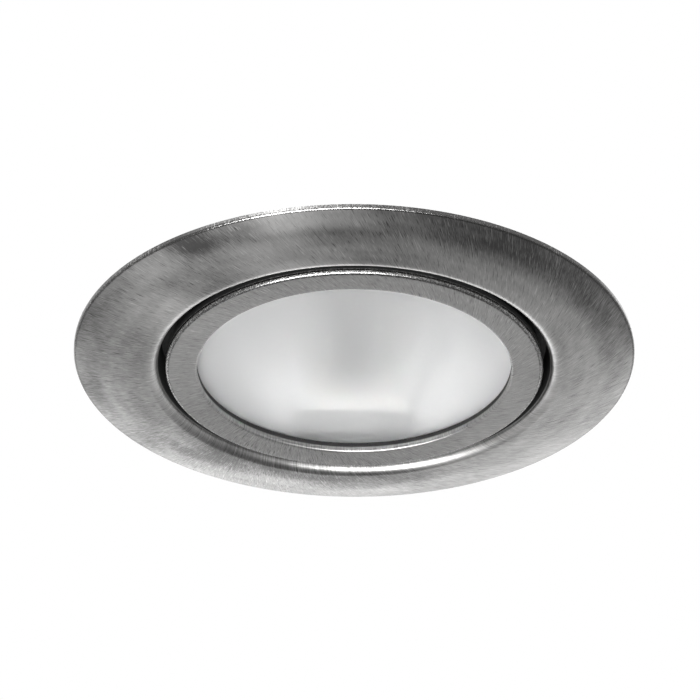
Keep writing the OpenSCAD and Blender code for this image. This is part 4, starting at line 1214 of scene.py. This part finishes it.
def buildPinch():
    p = lamp
    sections = ((0, 0.9), (0.15, 0.97), (0.4, 1.0), (2.2, 1.0), (4.6, 0.97), (5.8, 0.9), (6.6, 0.74),
                (7.1, 0.5), (7.25, 0.3))
    rings = []
    for along, narrow in sections:
        x, z = p["pinchWidth"] / 2 * narrow, p["pinchThick"] / 2 * (0.55 + 0.45 * narrow)
        dimple = p["dimple"] if p["dimpleSpan"][0] < along < p["dimpleSpan"][1] else 0.0
        ring = []
        for u, v in rectOutline(-x, x, -z, z, 0.7 * narrow, 5):
            pressed = math.copysign(dimple, v) * (1 - min(1.0, abs(u) / p["dimpleHalf"]) ** 4)
            ring.append(lampPoint(u, along, v - pressed))
        rings.append(ring)
    return skin("lamp_pinch", rings)


finishPiece(buildCapsule(), "lamp", "lamp_capsule")
finishPiece(buildPinch(), "lamp", "lamp_capsule")


def buildFilament():
    p = lamp
    half, at = p["pinPitch"] / 2, p["filamentAt"]
    # how far out as a part of the pins' half pitch, how far along, how high
    bends = ((1, p["pinInside"] + 0.02, 0), (1, 8.0, 0), (1.05, 9.6, 0.1), (1, at - 0.7, 0),
             (0.98, at - 0.15, 0), (0.85, at, 0))
    for label, side in sides:
        route = [lampPoint(side * half * out, along, up) for out, along, up in bends]
        support = wirePiece("filament_lead_" + label, route, p["wireRadius"], 10)
        finishPiece(support, "lamp", slot="filament_wire")
    steps = p["filamentTurns"] * 14
    route = []
    for k in range(steps + 1):
        turn = 2 * math.pi * p["filamentTurns"] * k / steps
        x = p["filamentWidth"] * (k / steps - 0.5)
        along, up = onCircle((at, 0), p["filamentRadius"], turn)
        route.append(lampPoint(x, along, up))
    finishPiece(wirePiece("filament_coil", route, p["filamentWire"], 6), "lamp", "lamp_filament")


def buildLampPins():
    p = lamp
    low, high = [p["pinInside"] + k for k in p["foilSpan"]]
    for label, side in sides:
        x = side * p["pinPitch"] / 2
        route = [lampPoint(x, along, 0) for along in (p["pinInside"], 0, -p["pinReach"])]
        finishPiece(wirePiece("lamp_pin_" + label, route, p["pinRadius"], 16), "lamp", "lamp_pins")
        strip = rectOutline(x - p["foilHalf"], x + p["foilHalf"], low, high, 0.2)
        foil = slab("lamp_foil_" + label, strip, -0.02, 0.02,
                    lambda u, v, w: lampPoint(u, v, w + p["foilUp"]), 0.005)
        finishPiece(foil, "lamp", slot="pin_metal")


buildFilament()
buildLampPins()
print("lamp built")

# leads from the holder to the terminals

leadLook = {"radius": 0.75, "x": 2.0, "crimp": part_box("lead_left")[0].z / mm, "roof": 12.6, "poleX": 3.3,
            "poleZ": 15.0, "poleIn": 1.1, "rise": 0.7, "sweep": 4.7, "straight": 1.2, "core": 0.432,
            "bare": (-3.5, -1, 0.5)}


def buildLead(label, side):
    l = leadLook
    y, endY = holder["leadY"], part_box("terminal_block")[1].y / mm - l["poleIn"]
    start, roof = Vector((l["x"], y, l["crimp"])), Vector((l["x"], y, l["roof"]))
    up = Vector((l["x"], y, l["poleZ"] + l["rise"]))
    across = Vector((l["poleX"], endY + l["sweep"], l["poleZ"]))
    end = Vector((l["poleX"], endY, l["poleZ"]))
    before = end + yAxis * l["straight"]
    route = [start.lerp(roof, k / 6) for k in range(6)]
    for k in range(25):
        t, u = k / 24, 1 - k / 24
        route.append(roof * u ** 3 + up * (3 * u ** 2 * t) + across * (3 * u * t * t) + before * t ** 3)
    route.append(end)
    sheath = wirePiece("lead_sleeve_" + label, mirrored(route, side), l["radius"], 16)
    bare = [(side * l["poleX"], endY + reach, l["poleZ"]) for reach in l["bare"]]
    core = wirePiece("lead_core_" + label, bare, l["core"], 12)
    finishPiece(sheath, "fixture", "lead_" + label)
    finishPiece(core, "fixture", slot="lead_sleeve", material="pin_metal")


for label, side in sides:
    buildLead(label, side)

# CAD nodes that stay, and how wide their edges are broken
keptNodes = {
    "reflector": 0.0, "lamp_holder": 0.25, "holder_contacts": 0.04, "holder_bracket": 0.08,
    "lead_grommet": 0.2, "terminal_block": 0.3, "terminal_inserts": 0.08, "terminal_screws": 0.05,
    "block_screw": 0.1, "clip_bracket_left": 0.08, "clip_bracket_right": 0.08, "clip_arm_left": 0.08,
    "clip_arm_right": 0.08, "snap_springs": 0.04, "snap_rivets": 0.1,
}
for name, edge in keptNodes.items():
    dressNode(name, edge)
print("kept nodes dressed:", len(keptNodes))

# floor, backdrop, lights and camera

stageLook = {
    "floorHeight": -31.0,   # just clear of the bezel when it is pulled down
    "floorReach": 900.0,
    "floorColour": (0.84, 0.84, 0.84),
    "worldLight": 0.55,     # what the surroundings give to matt surfaces
    "below": 0.2,           # how bright they are straight down
    "fade": (-1.0, 0.15),   # sines of the elevations where they start and stop paling
}


# shown to the camera from above only, so that it neither hides the light from below nor shades it
def buildFloor():
    s = stageLook
    outline = [(0.01, 0), (s["floorReach"], 0), (s["floorReach"], -2), (0.01, -2)]
    floor = lathe("floor", outline, 128, origin=(0, 0, s["floorHeight"]))
    material, tree, shader = newMaterial("paleFloor", specular=0.2, roughness=0.8)
    made = useGroup(tree, "grain", Grain=300.0, Cloud=4.0)
    colour = mixColour(tree, made["Cloud"], [c * 0.98 for c in s["floorColour"]], s["floorColour"])
    feed(tree, shader, colour)
    surface = addNode(tree, "NewGeometry").outputs
    up = calc(tree, "GREATER_THAN", split(tree, surface["Normal"])["Z"], 0.5)
    top = times(tree, inverse(tree, surface["Backfacing"]), up)
    shown = times(tree, top, addNode(tree, "LightPath").outputs["Is Camera Ray"])
    clear = addNode(tree, "BsdfTransparent")
    mixed = addNode(tree, "MixShader", {0: shown, 1: clear.outputs[0], 2: shader.outputs[0]})
    tree.links.new(mixed.outputs[0], tree.nodes["Material Output"].inputs["Surface"])
    floor.data.materials.append(material)


# white all round and above, and paler grey than white towards straight down
def buildWorld():
    s = stageLook
    world = bpy.data.worlds.new("studio")
    bpy.context.scene.world = world
    world.use_nodes = True
    tree = world.node_tree
    tree.nodes.clear()
    height = split(tree, addNode(tree, "TexCoord").outputs["Generated"])["Z"]
    shade = spread(tree, height, *s["fade"], s["below"], 1.0, True)
    path = addNode(tree, "LightPath").outputs
    mirrorOrGlass = calc(tree, "MAXIMUM", path["Is Glossy Ray"], path["Is Transmission Ray"])
    seen = calc(tree, "MAXIMUM", path["Is Camera Ray"], mirrorOrGlass)
    strength = times(tree, shade, spread(tree, seen, 0.0, 1.0, s["worldLight"], 1.0))
    background = addNode(tree, "Background", {"Color": (1, 1, 1, 1), "Strength": strength})
    output = tree.nodes.new("ShaderNodeOutputWorld")
    tree.links.new(background.outputs[0], output.inputs["Surface"])


# each soft box: where it stands, its width and height, its power
softBoxes = {
    "frontBelow": {"at": (-0.3, -0.75, -1.3), "size": (1.3, 0.9), "watts": 50.0},
    "farLow": {"at": (-0.2, 1.7, -0.25), "size": (2.0, 0.5), "watts": 4.0},
    "rearAbove": {"at": (0.5, 1.0, 1.1), "size": (1.4, 1.2), "watts": 7.9},
    "frontAbove": {"at": (-0.8, -0.9, 1.0), "size": (1.4, 1.2), "watts": 7.0},
}


def buildLights():
    for name, box in softBoxes.items():
        light = bpy.data.lights.new(name, "AREA")
        light.shape = "RECTANGLE"
        light.size, light.size_y = box["size"]
        light.energy = box["watts"]
        lamppost = bpy.data.objects.new(name, light)
        lamppost.location = box["at"]
        lamppost.rotation_mode = "QUATERNION"
        lamppost.rotation_quaternion = Vector(box["at"]).to_track_quat("Z", "Y")
        bpy.context.scene.collection.objects.link(lamppost)


photoView = {"elevation": -31.1, "distance": 0.8, "lens": 271.1, "originPixel": (354.2, 355.0),
             "imageSize": 700, "roll": 0.2}


def buildCamera():
    v = photoView
    elevation = math.radians(v["elevation"])
    back = Vector((0, -math.cos(elevation), math.sin(elevation)))
    data = bpy.data.cameras.new("photoCamera")
    data.lens = v["lens"]
    data.sensor_width = 36.0
    data.clip_start, data.clip_end = 0.01, 50.0
    camera = bpy.data.objects.new("photoCamera", data)
    bpy.context.scene.collection.objects.link(camera)
    roll = Matrix.Rotation(math.radians(v["roll"]), 3, "Z").to_quaternion()
    turn = (-back).to_track_quat("-Z", "Y") @ roll
    metresPerPixel = v["distance"] * data.sensor_width / data.lens / v["imageSize"]
    right, up = turn @ xAxis, turn @ yAxis
    aside = v["originPixel"][0] - v["imageSize"] / 2
    below = v["originPixel"][1] - v["imageSize"] / 2
    target = -right * (aside * metresPerPixel) + up * (below * metresPerPixel)
    camera.location = target + back * v["distance"]
    camera.rotation_mode = "QUATERNION"
    camera.rotation_quaternion = turn
    bpy.context.scene.camera = camera


buildFloor()
buildWorld()
buildLights()
buildCamera()
bpy.context.scene.view_settings.view_transform = "Standard"
print("stage, lights and camera set")
